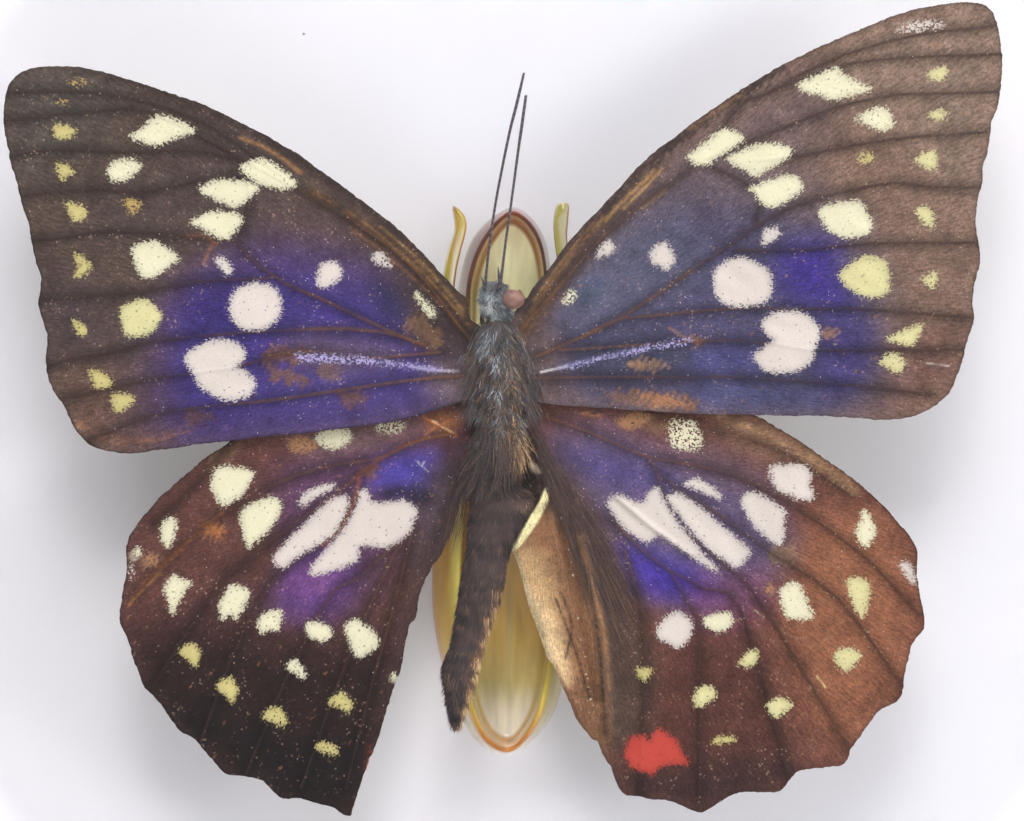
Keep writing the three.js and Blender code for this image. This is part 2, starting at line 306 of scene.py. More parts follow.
def depth_inside(points, loop, reach=FAR):
    """How deep each point lies inside a closed loop, in mm. It is below zero outside, and -reach far outside."""
    depth = np.full(len(points), -float(reach))
    close = np.flatnonzero(((points > loop.min(0) - reach) & (points < loop.max(0) + reach)).all(axis=1))
    if len(close) == 0:
        return depth
    here = points[close]
    ring = np.concatenate([loop, loop[:1]])
    gap, _ = near_line(here, ring)
    inside = np.zeros(len(here), bool)
    for (ax, ay), (bx, by) in zip(ring, ring[1:]):
        if ay != by:
            crosses = (ay > here[:, 1]) != (by > here[:, 1])
            inside ^= crosses & (here[:, 0] < ax + (here[:, 1] - ay) / (by - ay) * (bx - ax))
    depth[close] = np.where(inside, gap, -np.minimum(gap, reach))
    return depth


def soft_step(values, low, high):
    """0 below low, 1 above high, and a smooth rise between."""
    share = np.clip((values - low) / (high - low), 0, 1)
    return share * share * (3 - 2 * share)


def mesh_piece(name, points_mm, faces):
    """A mesh object from points in mm."""
    data = bpy.data.meshes.new(name)
    data.from_pydata((np.asarray(points_mm) * MM).tolist(), [], faces)
    data.update()
    made = bpy.data.objects.new(name, data)
    bpy.context.scene.collection.objects.link(made)
    return made


def loft_faces(rings, sides):
    """Quads between rings that lie one after another, with the first and last ring filled."""
    faces = []
    for r in range(rings - 1):
        for i in range(sides):
            j = (i + 1) % sides
            faces.append((r * sides + i, r * sides + j, (r + 1) * sides + j, (r + 1) * sides + i))
    return faces + [tuple(range(sides - 1, -1, -1)), tuple((rings - 1) * sides + i for i in range(sides))]


def apply_modifier(piece, kind, **settings):
    """Adds a modifier to a piece and applies it."""
    bpy.ops.object.select_all(action="DESELECT")
    bpy.context.view_layer.objects.active = piece
    piece.select_set(True)
    made = piece.modifiers.new(kind.lower(), kind)
    for key, value in settings.items():
        setattr(made, key, value)
    bpy.ops.object.modifier_apply(modifier=made.name)


cradle_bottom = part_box("cradle")[0].z / MM
foot = smooth(plan(CRADLE_FOOT), closed=True)
ridge = smooth(plan(CRADLE_RIDGE), closed=True)
middle = np.array([plan([(509, 490)])[0]])


def oval(outer_share, up, shrink=0.0):
    """One ring of the trough, between its foot and its ridge, drawn in towards the middle line."""
    ring = foot * outer_share + ridge * (1 - outer_share)
    ring = ring + (middle - ring) * shrink * np.array([1, 0.2])
    marks_down = PLAN_CENTRE[1] - ring[:, 1] / PLAN_SCALE
    spoon = HEAD_FLOOR * (1 - soft_step(marks_down, *HEAD_FLOOR_END)) * (shrink > 0.1) * (1 - (up - TROUGH_FLOOR) / 5)
    return np.column_stack([ring, cradle_bottom + up + spoon])[::-1]


CRADLE_RINGS = [
    (0.97, 0, 0), (1, 0.15, 0), (1, 0.8, 0), (0.93, 1.8, 0), (0.72, 3.2, 0), (0.42, 4.9, 0), (0.16, 6.2, 0),
    (0.05, 6.68, 0), (0, 6.8, 0.02), (0, 6.72, 0.045), (0, 6.3, 0.07), (0, 4.8, 0.1), (0, 3.2, 0.13), (0, 2.2, 0.17),
    (0, 1.85, 0.24),
    (0, TROUGH_FLOOR, 0.6), (0, TROUGH_FLOOR, 0.9),
]
rings = [oval(*ring) for ring in CRADLE_RINGS]
cradle = mesh_piece("clear_cradle", np.concatenate(rings), loft_faces(len(rings), len(rings[0])))
# The rows are the plastic's yellowing with painted light in it. The dark reddish tones at the head end of flank and
# ridge are painted shade. The amber of foot, flank and inner wall paints in the long way of light inside. The
# near-white floor at the head end is painted lighter against the shade of the wings and head, and there it lets no
# light through.
TINTS_AND_PAINTED_LIGHT = {
    "foot": [
        (200, "#efe8e0"), (235, "#b9b266"), (285, "#a29a48"), (480, "#c08834"), (560, "#b87c30"), (640, "#c09040"),
        (720, "#d8cca0"), (765, "#f4f0e8"),
    ],
    "flank": [
        (200, "#a0503c"), (240, "#6a3c34"), (285, "#8a6840"), (480, "#cc9e4c"), (560, "#cc9c40"), (640, "#d4b04e"),
        (720, "#d8d0a4"), (765, "#ece2cc"),
    ],
    "ridge": [
        (200, "#a4482e"), (222, "#5c302c"), (290, "#5e3834"), (330, "#c0a648"), (560, "#f2e070"), (700, "#ecd058"),
        (740, "#b8702c"),
    ],
    "inner": [
        (200, "#c06a40"), (250, "#c07840"), (300, "#c0a060"), (480, "#d8a040"), (640, "#cca450"), (700, "#d2c078"),
        (750, "#c08850"),
    ],
    "floor": [
        (200, "#fffcca"), (300, "#fffbc8"), (480, "#f0c88a"), (560, "#f0c486"), (640, "#ecc870"), (690, "#d4c684"),
        (720, "#f2ecdc"),
    ],
}
TINT_ROW_OF_RING = ["foot"] * 4 + ["flank"] * 2 + ["ridge"] * 4 + ["inner"] * 4 + ["floor"] * 3


def tint_and_painted_light_at(kind, marks_down):
    """The moulding's tint, with its painted shade and painted light, at a distance down the plan, as linear light."""
    stops = TINTS_AND_PAINTED_LIGHT[kind]
    tones = np.array([linear(tone)[:3] for _, tone in stops])
    return np.column_stack([np.interp(marks_down, [stop for stop, _ in stops], tones[:, k]) for k in range(3)])


down = PLAN_CENTRE[1] - np.concatenate(rings)[:, 1] / PLAN_SCALE
stain = np.concatenate([tint_and_painted_light_at(kind, rows) for kind, rows in zip(TINT_ROW_OF_RING, down.reshape(len(rings), -1))])
# The stain attribute carries that tint with its painted shade and painted light, and the clearness in its alpha.
colours = cradle.data.attributes.new("stain", "FLOAT_COLOR", "POINT")
on_floor = np.repeat(np.array(TINT_ROW_OF_RING) == "floor", len(rings[0]))
clearness = CLEARNESS * np.where(on_floor, soft_step(down, 290, 420), 1)
colours.data.foreach_set("color", np.column_stack([stain, clearness]).astype(np.float32).ravel())
for number, marks in enumerate((LEFT_FINGER, RIGHT_FINGER)):
    outline = smooth(plan(marks), closed=True, steps=4)[::-1]
    if number == 1:
        outline = outline[::-1]
    heading = np.roll(outline, -1, axis=0) - np.roll(outline, 1, axis=0)
    inward = np.column_stack([-heading[:, 1], heading[:, 0]]) / np.linalg.norm(heading, axis=1)[:, None]
    if depth_inside(outline[:1] + inward[:1] * 0.05, outline)[0] < 0:
        inward = -inward
    bar_rings = [
        np.column_stack([outline + inward * inset, np.full(len(outline), cradle_bottom + up)])
        for up, inset in FINGER_RINGS
    ]
    bar = mesh_piece("finger_bar", np.concatenate(bar_rings), loft_faces(len(bar_rings), len(outline)))
    down = PLAN_CENTRE[1] - np.concatenate(bar_rings)[:, 1] / PLAN_SCALE
    clear_tip = soft_step(down, 212, 240)[:, None]
    stain = np.array(linear("#f8f4f0")[:3]) * (1 - clear_tip) + np.array(linear("#d6d0a0")[:3]) * clear_tip
    # The left finger's right side is painted dark: painted shade along the clear bar's edge.
    if number == 0:
        stain[(np.tile(inward[:, 0], len(bar_rings)) < -0.5)] *= (0.25, 0.17, 0.12)
    colours = bar.data.attributes.new("stain", "FLOAT_COLOR", "POINT")
    stain = np.column_stack([stain, np.full(len(stain), CLEARNESS)])
    colours.data.foreach_set("color", stain.astype(np.float32).ravel())
    for made in (bar, cradle):
        bpy.ops.object.select_all(action="DESELECT")
        bpy.context.view_layer.objects.active = made
        made.select_set(True)
        bpy.ops.object.mode_set(mode="EDIT")
        bpy.ops.mesh.select_all(action="SELECT")
        bpy.ops.mesh.normals_make_consistent(inside=False)
        bpy.ops.object.mode_set(mode="OBJECT")
    apply_modifier(cradle, "BOOLEAN", operation="UNION", object=bar, solver="EXACT")
    bpy.data.objects.remove(bar)
cradle.data.shade_smooth()

# Aged cellulose plastic, IOR 1.49. It is clear but soaks up blue, so 2 mm of it is straw and 10 mm is amber.
celluloid, tree = new_material("yellowed_clear_celluloid")
place = put(tree, "TexCoord").outputs["Object"]
along_mould = put(tree, "Mapping", {"Vector": place, "Scale": (900, 160, 300)})
streaks = put(tree, "TexNoise", {"Vector": along_mould, "Scale": 1.0})
relief = put(tree, "Bump", {"Height": streaks, "Strength": 0.12, "Distance": 0.0003})
# The streaks lighten and darken the colour as painted reflection, and they raise the surface as mould marks.
uneven = put(tree, "MapRange", {"Value": streaks, "From Min": 0.3, "From Max": 0.7, "To Min": 0.8, "To Max": 1.15})
# The stain attribute holds the yellowing together with painted shade and painted light.
stain = put(tree, "Attribute", attribute_name="stain")
clear = put(
    tree,
    "BsdfPrincipled",
    {
        "Base Color": put(tree, "VectorMath", {0: stain.outputs["Color"], "Scale": uneven}, operation="SCALE"),
        "Roughness": 0.03,
        "IOR": 1.49,
        "Transmission Weight": stain.outputs["Alpha"],
        "Normal": relief,
    },
)
soak = put(tree, "VolumeAbsorption", {"Color": linear("#e6c860"), "Density": 18})
put(tree, "OutputMaterial", {"Surface": clear, "Volume": soak})
dress(cradle, celluloid, "cradle")
cradle.visible_shadow = False

# ---- Body -------------------------------------------------------------------------------------------------
# Thorax, head and abdomen are dried cuticle under a coat of fine hair: slate grey on the thorax, brown-black
# on the abdomen, and tan along the abdomen's right side. Eyes are dull red-brown, and two palps stand in
# front of the head.
BODY_SIDES = 40


def at(x, y, up):
    """A place in mm, from a mark on the plan and a height above the cradle's underside."""
    spot = plan([(x, y)])[0]
    return spot[0], spot[1], cradle_bottom + up


def draw_limb(name, stations, sides=BODY_SIDES):
    """A limb drawn from one ring, extruded and resized by its stations: (x, y, z, half width, half height)."""
    bpy.ops.object.select_all(action="DESELECT")
    x, y, z, wide, high = stations[0]
    bpy.ops.mesh.primitive_circle_add(
        vertices=sides, radius=MM, location=(x * MM, y * MM, z * MM), rotation=(math.pi / 2, 0, 0), fill_type="TRIFAN"
    )
    made = bpy.context.object
    made.name = name
    bpy.ops.object.transform_apply(location=True, rotation=True, scale=True)
    bpy.ops.object.mode_set(mode="EDIT")
    bpy.ops.mesh.select_all(action="SELECT")
    bpy.ops.transform.resize(value=(wide, 1, high), center_override=(x * MM, y * MM, z * MM))
    for before, here in zip(stations, stations[1:]):
        step = [(b - a) * MM for a, b in zip(before[:3], here[:3])]
        bpy.ops.mesh.extrude_region_move(TRANSFORM_OT_translate={"value": step})
        grow = (here[3] / before[3], 1, here[4] / before[4])
        bpy.ops.transform.resize(value=grow, center_override=tuple(c * MM for c in here[:3]))
    bpy.ops.mesh.select_all(action="SELECT")
    bpy.ops.mesh.normals_make_consistent(inside=False)
    bpy.ops.object.mode_set(mode="OBJECT")
    made.data.shade_smooth()
    return made


def between(stations, count):
    """Stations made finer along a smooth line."""
    return [tuple(row) for row in evenly(smooth(stations), count)]


thorax_line = between(
    [
        (*at(499, 316, 8.2), 0.5, 0.6),
        (*at(499, 322, 8.1), 1.3, 1.6),
        (*at(499, 340, 7.7), 2.1, 2.7),
        (*at(500, 370, 7.3), 2.45, 3.2),
        (*at(501, 405, 7.1), 2.5, 3.2),
        (*at(499, 440, 7.2), 2.3, 2.8),
        (*at(493, 466, 7.6), 1.9, 2.1),
        (*at(491, 474, 7.9), 0.9, 1.0),
    ],
    36,
)
abdomen_line = between(
    [
        (*at(492, 455, 7.8), 1.2, 1.0),
        (*at(491, 472, 8.1), 1.9, 1.3),
        (*at(494, 484, 8.4), 2.3, 1.5),
        (*at(501, 496, 8.6), 3.2, 1.7),
        (*at(500, 510, 8.7), 3.1, 1.8),
        (*at(493, 532, 8.8), 2.5, 1.8),
        (*at(488, 552, 8.8), 2.2, 1.8),
        (*at(481, 590, 8.9), 2.15, 1.75),
        (*at(469, 642, 8.9), 1.75, 1.6),
        (*at(461, 667, 8.9), 1.9, 1.6),
        (*at(459, 690, 9.0), 1.4, 1.3),
        (*at(457, 712, 9.1), 0.75, 0.8),
        (*at(456, 726, 9.1), 0.25, 0.3),
    ],
    64,
)
ABDOMEN_RINGS = 8
RING_PINCH = 0.06
pinched = []
for i, station in enumerate(abdomen_line):
    turn_at = i / (len(abdomen_line) - 1) * ABDOMEN_RINGS
    pinch = 1 - RING_PINCH * abs(2 * (turn_at % 1) - 1) ** 3
    pinched.append((*station[:3], station[3] * pinch, station[4] * pinch))
head_line = between(
    [
        (*at(494, 281, 8.4), 0.5, 0.6),
        (*at(495, 286, 8.5), 1.1, 1.3),
        (*at(496, 297, 8.5), 1.5, 1.6),
        (*at(497, 309, 8.5), 1.4, 1.5),
        (*at(500, 318, 8.4), 0.9, 1.0),
    ],
    16,
)
thorax = draw_limb("thorax_shell", thorax_line)
abdomen = draw_limb("abdomen_shell", pinched)
head = draw_limb("head_shell", head_line)

# Dried cuticle is a hard, dull shell with a mottle about 1 mm wide. Little of it shows between the hairs.
cuticle, tree = new_material("dried_cuticle")
place = put(tree, "TexCoord").outputs["Object"]
mottle = put(tree, "TexNoise", {"Vector": place, "Scale": 900, "Detail": 4})
dry = put(tree, "MixRGB", {"Fac": mottle, "Color1": linear("#2c2828"), "Color2": linear("#5a5150")})
relief = put(tree, "Bump", {"Height": mottle, "Strength": 0.6, "Distance": 0.0002})
down = {"Sheen Weight": 0.3, "Sheen Roughness": 0.5}
finish = put(tree, "BsdfPrincipled", {"Base Color": dry, "Roughness": 0.7, "Normal": relief, **down})
put(tree, "OutputMaterial", {"Surface": finish})
dress(thorax, cuticle, "thorax")
dress(head, cuticle, "head")

# The abdomen's cuticle is browner and duller, and it is mottled about 1.4 mm wide.
brown_cuticle, tree = new_material("dried_cuticle_brown")
place = put(tree, "TexCoord").outputs["Object"]
mottle = put(tree, "TexNoise", {"Vector": place, "Scale": 700, "Detail": 4})
dry = put(tree, "MixRGB", {"Fac": mottle, "Color1": linear("#1a1211"), "Color2": linear("#57403a")})
relief = put(tree, "Bump", {"Height": mottle, "Strength": 0.6, "Distance": 0.0002})
finish = put(tree, "BsdfPrincipled", {"Base Color": dry, "Roughness": 0.75, "Normal": relief})
put(tree, "OutputMaterial", {"Surface": finish})
dress(abdomen, brown_cuticle, "abdomen")


BLADE_POINTS = 7


def fur(name, hairs, droop, material):
    """Hairs as one mesh, from their roots, ways, lengths, widths and shades. Each is a thin tapered blade, in mm."""
    roots, ways, lengths, widths, shades = hairs
    sides = np.cross(ways, [0, 0, 1.0])
    sides /= np.linalg.norm(sides, axis=1)[:, None] + 1e-9
    sides *= widths[:, None] / 2
    down = np.array([0, 0, -1.0])
    levels = []
    for share in (0.0, 0.45, 0.8):
        centre = roots + ways * lengths[:, None] * share + down * (lengths * droop * share**2)[:, None]
        levels += [centre - sides * (1 - share * 0.6), centre + sides * (1 - share * 0.6)]
    levels.append(roots + ways * lengths[:, None] + down * (lengths * droop)[:, None])
    points = np.stack(levels, axis=1).reshape(-1, 3)
    faces = []
    for k in range(0, len(points), BLADE_POINTS):
        faces += [(k, k + 1, k + 3, k + 2), (k + 2, k + 3, k + 5, k + 4), (k + 4, k + 5, k + 6)]
    made = mesh_piece(name, points, faces)
    shade = made.data.attributes.new("shade", "FLOAT", "POINT")
    shade.data.foreach_set("value", np.repeat(shades, BLADE_POINTS).astype(np.float32))
    made.data.materials.append(material)
    made.data.shade_smooth()
    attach(made, "root")


def hair_material(name, colours):
    """Hair of several colours, taken from each hair's own shade from 0 to 1."""
    made, tree = new_material(name)
    ramp = put(tree, "ValToRGB", {"Fac": put(tree, "Attribute", attribute_name="shade").outputs["Fac"]})
    for number, (stop, colour) in enumerate(colours):
        element = ramp.color_ramp.elements[number] if number < 2 else ramp.color_ramp.elements.new(stop)
        element.position = stop
        element.color = linear(colour)
    gleam = {"Sheen Weight": 0.2, "Specular IOR Level": 0.35}
    finish = put(tree, "BsdfPrincipled", {"Base Color": ramp, "Roughness": 0.55, **gleam})
    put(tree, "OutputMaterial", {"Surface": finish})
    return made


def coat(line, count, seed, turns, lean, splay, length, width, shade_of, tangle=0.16):
    """Hairs spread over a limb, between two turns round it (0.5 is straight up). They lean along it and splay out."""
    draw = np.random.default_rng(seed)
    stations = np.array(line)
    along = draw.random(count) * (len(stations) - 1)
    numbers = np.arange(len(stations))
    at_station = np.column_stack([np.interp(along, numbers, stations[:, k]) for k in range(5)])
    turned = (turns[0] + (turns[1] - turns[0]) * draw.random(count)) * math.pi
    out = np.column_stack([-np.cos(turned), np.zeros(count), np.sin(turned)])
    roots = at_station[:, :3] + out * at_station[:, [3, 3, 4]] * 0.97
    heading = np.gradient(stations[:, :3], axis=0)
    heading /= np.linalg.norm(heading, axis=1)[:, None]
    flow = np.column_stack([np.interp(along, numbers, heading[:, k]) for k in range(3)])
    ways = flow * lean + out * splay + draw.normal(0, tangle, (count, 3))
    ways /= np.linalg.norm(ways, axis=1)[:, None]
    lengths = length * (0.5 + 0.8 * draw.random(count))
    widths = width * (0.6 + 0.8 * draw.random(count))
    shades = shade_of(roots, turned / math.pi, along / (len(stations) - 1)) + draw.normal(0, 0.13, count)
    return roots, ways, lengths, widths, np.clip(shades, 0, 1)


def clumps(points, size, seed):
    """A soft, uneven field from about -1 to 1, with lumps of that size in mm."""
    draw = np.random.default_rng(seed)
    total = np.zeros(len(points))
    for _ in range(6):
        wave = draw.normal(0, 1, points.shape[1])
        wave *= (0.6 + 0.8 * draw.random()) * 2 * math.pi / size / (np.linalg.norm(wave) + 1e-9)
        total += np.sin(points @ wave + draw.random() * 2 * math.pi)
    return total / 3


# Insect hair is chitin, about 0.02 mm thick, drawn at 0.05 to 0.08 mm so that it shows. It is dry and matt,
# and pale hairs lie among dark ones.
slate_hair = hair_material(
    "slate_grey_hair", [(0.0, "#171416"), (1.0, "#d6d3cc"), (0.3, "#3a3536"), (0.55, "#615f62"), (0.8, "#93a0a8")]
)
brown_hair = hair_material(
    "brown_hair", [(0.0, "#1a1416"), (1.0, "#d8b98a"), (0.35, "#423231"), (0.65, "#74563f"), (0.82, "#a88259")]
)
LIGHT_LOCKS = [
    (494, 352, 0.5, 0.2), (517, 440, 0.5, 0.25), (486, 345, 0.6, 0.34), (494, 392, 0.5, 0.2), (500, 412, 0.35, 0.2),
    (490, 330, 0.4, 0.3), (503, 352, 0.5, 0.22), (499, 370, 0.5, 0.12),
]
HEAD_LOCKS = [(490, 303, 0.4, 0.4), (496, 320, 0.4, 0.4)]
EYE_CLEARING = 1.3
BROWN_LOCKS = [(509, 375, 0.7, 0.3), (518, 439, 0.55, 0.7), (514, 334, 0.7, 0.3), (508, 420, 0.8, 0.25)]


def locks_shade(points, locks):
    """Lighter locks of hair that run lengthwise, each a soft patch given as (x, y, half width in mm, strength)."""
    total = np.zeros(len(points))
    for x, y, half_width, strength in locks:
        away = (points[:, :2] - plan([(x, y)])[0]) / (half_width, half_width * 2.2)
        total += strength * np.exp(-(away**2).sum(axis=1))
    return total


thorax_coat = coat(
    thorax_line, count=9000, seed=11, turns=(0, 1), lean=1, splay=0.14, length=1.25, width=0.08, tangle=0.34,
    shade_of=lambda p, turned, along: 0.37 + 0.2 * clumps(p[:, :2] * (1, 0.5), 1.6, 5)
    + locks_shade(p, LIGHT_LOCKS) - 0.1 * np.abs(turned - 0.5),
)
fur("thorax_hair", thorax_coat, 0.12, slate_hair)
brown_coat = coat(
    thorax_line, count=6500, seed=15, turns=(0, 1), lean=1, splay=0.18, length=1.2, width=0.08, tangle=0.34,
    shade_of=lambda p, turned, along: 0.42 + 0.18 * clumps(p[:, :2], 1.3, 8)
    + locks_shade(p, BROWN_LOCKS) + 0.14 * soft_step(p[:, 0], -1, 1.5),
)
fur("thorax_brown_hair", brown_coat, 0.1, brown_hair)
collar_coat = coat(
    thorax_line[:9], count=2200, seed=16, turns=(0, 1), lean=0.6, splay=0.35, length=1.3, width=0.07,
    shade_of=lambda p, turned, along: 0.3 + 0.14 * clumps(p[:, :2], 1.2, 9) + locks_shade(p, LIGHT_LOCKS),
)
fur("collar_hair", collar_coat, 0.12, slate_hair)
head_coat = coat(
    head_line, count=2800, seed=12, turns=(0.02, 0.98), lean=0.35, splay=0.4, length=0.6, width=0.06,
    shade_of=lambda p, turned, along: 0.6 + 0.15 * clumps(p[:, :2], 1.0, 6) + locks_shade(p, HEAD_LOCKS),
)
off_eye = np.linalg.norm(head_coat[0][:, :2] - plan([(513, 296)])[0], axis=1) > EYE_CLEARING
fur("head_hair", [values[off_eye] for values in head_coat], 0.1, slate_hair)
abdomen_coat = coat(
    abdomen_line, count=8500, seed=13, turns=(0, 1), lean=1, splay=0.16, length=0.8, width=0.06,
    shade_of=lambda p, turned, along: 0.18 + 0.2 * clumps(p[:, :2], 1.4, 7)
    + 0.62 * soft_step(turned, 0.56, 0.8) * soft_step(along, 0.36, 0.62)
    + 0.45 * np.exp(-(((p[:, :2] - plan([(523, 502)])[0]) / (0.9, 0.7)) ** 2).sum(axis=1))
    + 0.35 * np.exp(-(((p[:, :2] - plan([(447, 683)])[0]) / (0.5, 0.9)) ** 2).sum(axis=1)),
)
bulge_coat = coat(
    abdomen_line[4:12], count=1700, seed=18, turns=(0.05, 0.95), lean=0.8, splay=1, length=0.7, width=0.06,
    tangle=0.3,
    shade_of=lambda p, turned, along: 0.3 + 0.26 * clumps(p[:, :2], 1.1, 19),
)
fur("abdomen_hair", [np.concatenate(pair) for pair in zip(abdomen_coat, bulge_coat)], 0.08, brown_hair)
waist_coat = coat(
    thorax_line[-13:], count=3200, seed=17, turns=(0.05, 0.95), lean=1, splay=0.16, length=3.3, width=0.06,
    tangle=0.2,
    shade_of=lambda p, turned, along: 0.24 + 0.2 * clumps(p[:, :2], 1.2, 10) + locks_shade(p, BROWN_LOCKS),
)
fur("waist_hair", waist_coat, 0.05, brown_hair)

# A dried compound eye is chitin, IOR 1.5: red-brown, cloudy and dully shiny. Its facets are 0.03 mm wide,
# drawn at 0.1 mm so that they show.
eye_brown, tree = new_material("dried_compound_eye")
place = put(tree, "TexCoord").outputs["Object"]
facets = put(tree, "TexVoronoi", {"Vector": place, "Scale": 9000})
cloud = put(tree, "TexNoise", {"Vector": place, "Scale": 1200, "Detail": 3})
lens = put(tree, "MixRGB", {"Fac": cloud, "Color1": linear("#5a3c34"), "Color2": linear("#9c756a")})
relief = put(tree, "Bump", {"Height": facets.outputs["Distance"], "Strength": 0.4, "Distance": 0.00003})
finish = put(tree, "BsdfPrincipled", {"Base Color": lens, "Roughness": 0.3, "Normal": relief, "IOR": 1.5})
put(tree, "OutputMaterial", {"Surface": finish})
EYE_SHAPE = (1.28, 1.0, 1.15)
for side, mark, up in (("left", 491, 5.9), ("right", 512, 9.0)):
    bpy.ops.object.select_all(action="DESELECT")
    x, y, z = at(mark, 299, up)
    bpy.ops.mesh.primitive_uv_sphere_add(segments=40, ring_count=24, radius=MM, location=(x * MM, y * MM, z * MM))
    eye = bpy.context.object
    eye.name = "eye_ball_" + side
    bpy.ops.object.transform_apply(location=True)
    bpy.ops.object.mode_set(mode="EDIT")
    bpy.ops.mesh.select_all(action="SELECT")
    bpy.ops.transform.resize(value=EYE_SHAPE, center_override=(x * MM, y * MM, z * MM))
    bpy.ops.object.mode_set(mode="OBJECT")
    eye.data.shade_smooth()
    dress(eye, eye_brown, "eye_" + side)

for side, tip, root in (("left", (481, 276), (487, 292)), ("right", (498, 266), (500, 285))):
    half_way = [(a + b) / 2 for a, b in zip(root, tip)]
    palp_line = between(
        [(*at(*root, 8.9), 0.18, 0.24), (*at(*half_way, 9.2), 0.15, 0.2), (*at(*tip, 9.3), 0.04, 0.04)],
        10,
    )
    palp = draw_limb("palp_" + side + "_shell", palp_line, 16)
    dress(palp, cuticle, "palp_" + side)

# ---- Legs -------------------------------------------------------------------------------------------------
# The four walking legs, folded under the thorax in the trough: thin, dark and dry. Each is drawn as one
# tapered limb through its hip, knee and toe.
for side, sign in (("left", -1), ("right", 1)):
    for pair, hip, toe in (("mid", 345, 300), ("hind", 405, 455)):
        leg_line = between(
            [
                (*at(506 + 8 * sign, hip, 3.4), 0.25, 0.25),
                (*at(506 + 24 * sign, (hip + toe) / 2, 3.5), 0.24, 0.24),
                (*at(506 + 20 * sign, toe, 2.6), 0.16, 0.16),
                (*at(506 + 11 * sign, toe + (toe - hip) * 0.35, 2.4), 0.08, 0.08),
            ],
            18,
        )
        leg = draw_limb(f"leg_{pair}_{side}_jointed", leg_line, 12)
        dress(leg, brown_cuticle, f"leg_{pair}_{side}")

# ---- Antennae ---------------------------------------------------------------------------------------------
# Two thin beaded stalks that thicken to slim clubs. They lie forward over the cradle's arch and cross to the
# right. Bare black chitin with a joint about every 0.6 mm, which gives a dull, beaded line.
antenna_black, tree = new_material("antenna_cuticle")
place = put(tree, "TexCoord").outputs["Object"]
joints = put(tree, "TexWave", {"Vector": place, "Scale": 520, "Distortion": 0.5}, bands_direction="Y")
dark = put(tree, "MixRGB", {"Fac": joints, "Color1": linear("#2c272c"), "Color2": linear("#5b5257")})
relief = put(tree, "Bump", {"Height": joints, "Strength": 0.5, "Distance": 0.00005})
finish = put(tree, "BsdfPrincipled", {"Base Color": dark, "Roughness": 0.5, "Normal": relief})
put(tree, "OutputMaterial", {"Surface": finish})
ANTENNAE = {
    "left": [
        (485, 292, 9.4, 0.2), (486, 275, 9.7, 0.13), (490, 240, 9.9, 0.12), (497, 195, 10.3, 0.12),
        (509, 135, 10.6, 0.13), (517, 103, 10.7, 0.15), (524, 73, 10.8, 0.11),
    ],
    "right": [
        (499, 288, 10.2, 0.24), (502, 272, 10.8, 0.14), (506, 240, 10.9, 0.12), (511, 205, 11.2, 0.12),
        (518, 153, 11.4, 0.13), (522, 125, 11.5, 0.15), (526, 96, 11.6, 0.13),
    ],
}
for side, marks in ANTENNAE.items():
    stalk_line = between([(*at(x, y, up), girth, girth) for x, y, up, girth in marks], 120)
    swells = [1.15 + 0.1 * (-1) ** i for i in range(len(stalk_line))]
    beaded = [(*s[:3], s[3] * swell, s[4] * swell) for s, swell in zip(stalk_line, swells)]
    antenna = draw_limb("antenna_" + side + "_stalk", beaded, 10)
    dress(antenna, antenna_black, "antenna_" + side)

# ---- Hindwings --------------------------------------------------------------------------------------------
# Two sheets of membrane, about 0.1 mm thick, shingled above with brown and violet scales and cream spots, and
# below with silver-green ones. They are set flat under the forewings. Ribs of vein stand up from them, and
# the skin sags between.
# Their violet, as on the forewings, is structural colour painted in as it shows under one light, so part of it is
# painted sheen.
CELL = 0.16
UNDER_CELL = 0.5
FRINGE = 0.03
MEMBRANE = 0.1
RIB_HEIGHT = 0.07
SAG = 0.12
ROW_TURN = 30
ROW_UNIT = 100
HALF_SPAN = 50
WING_LIFT = 3
RAGGED = (0.3, 0.6)
SPOT_COLOURS = {
    "white": "#c5bab3", "cream": "#cfc9ac", "yellow": "#c4bc8c", "straw": "#b8ab72", "ochre": "#ab915a",
    "tan": "#9a7050", "lilac": "#a69cc6", "red": "#aa3e34",
}


def lattice(loop, cell, margin, seed):
    """Points in a triangular lattice inside a loop, a little uneven, and no nearer its edge than the margin."""
    low, high = loop.min(0), loop.max(0)
    rows = []
    for number, y in enumerate(np.arange(low[1], high[1], cell * math.sqrt(0.75))):
        x = np.arange(low[0] + (number % 2) * cell / 2, high[0], cell)
        rows.append(np.column_stack([x, np.full(len(x), y)]))
    points = np.concatenate(rows)
    points = points + np.random.default_rng(seed).normal(0, cell * 0.06, points.shape)
    return points[depth_inside(points, loop, 1.0) > margin]


def triangles(rim, inner):
    """The triangles that fill a rim, with its inner points, and without those that bridge a hollow of the rim."""
    points = np.concatenate([rim, inner])
    ring = [list(range(len(rim)))]
    found = np.array(delaunay_2d_cdt([Vector(p) for p in points], [], ring, 1, 1e-7, False)[2])
    bridging = np.flatnonzero((found < len(rim)).all(axis=1))
    outside = depth_inside(points[found[bridging]].mean(axis=1), rim, 1.0) < 0
    return np.delete(found, bridging[outside], axis=0)


def paint_ground(points, base, tones):
    """A wing's own colour at each point: its brown, with soft areas of other tones laid over it one by one."""
    colour = np.tile(np.array(linear(base)[:3]), (len(points), 1))
    ragged = 0.35 * clumps(points, 0.7, 43) + 0.25 * clumps(points, 1.6, 44)
    for tone, softness, strength, marks in tones:
        depth = depth_inside(points, smooth(plan(marks), closed=True, steps=3), softness + 0.5)
        if RAGGED[0] < softness < RAGGED[1]:
            depth = depth + ragged
        share = strength * soft_step(depth, -softness, softness)
        colour += (np.array(linear(tone)[:3]) - colour) * share[:, None]
    return colour


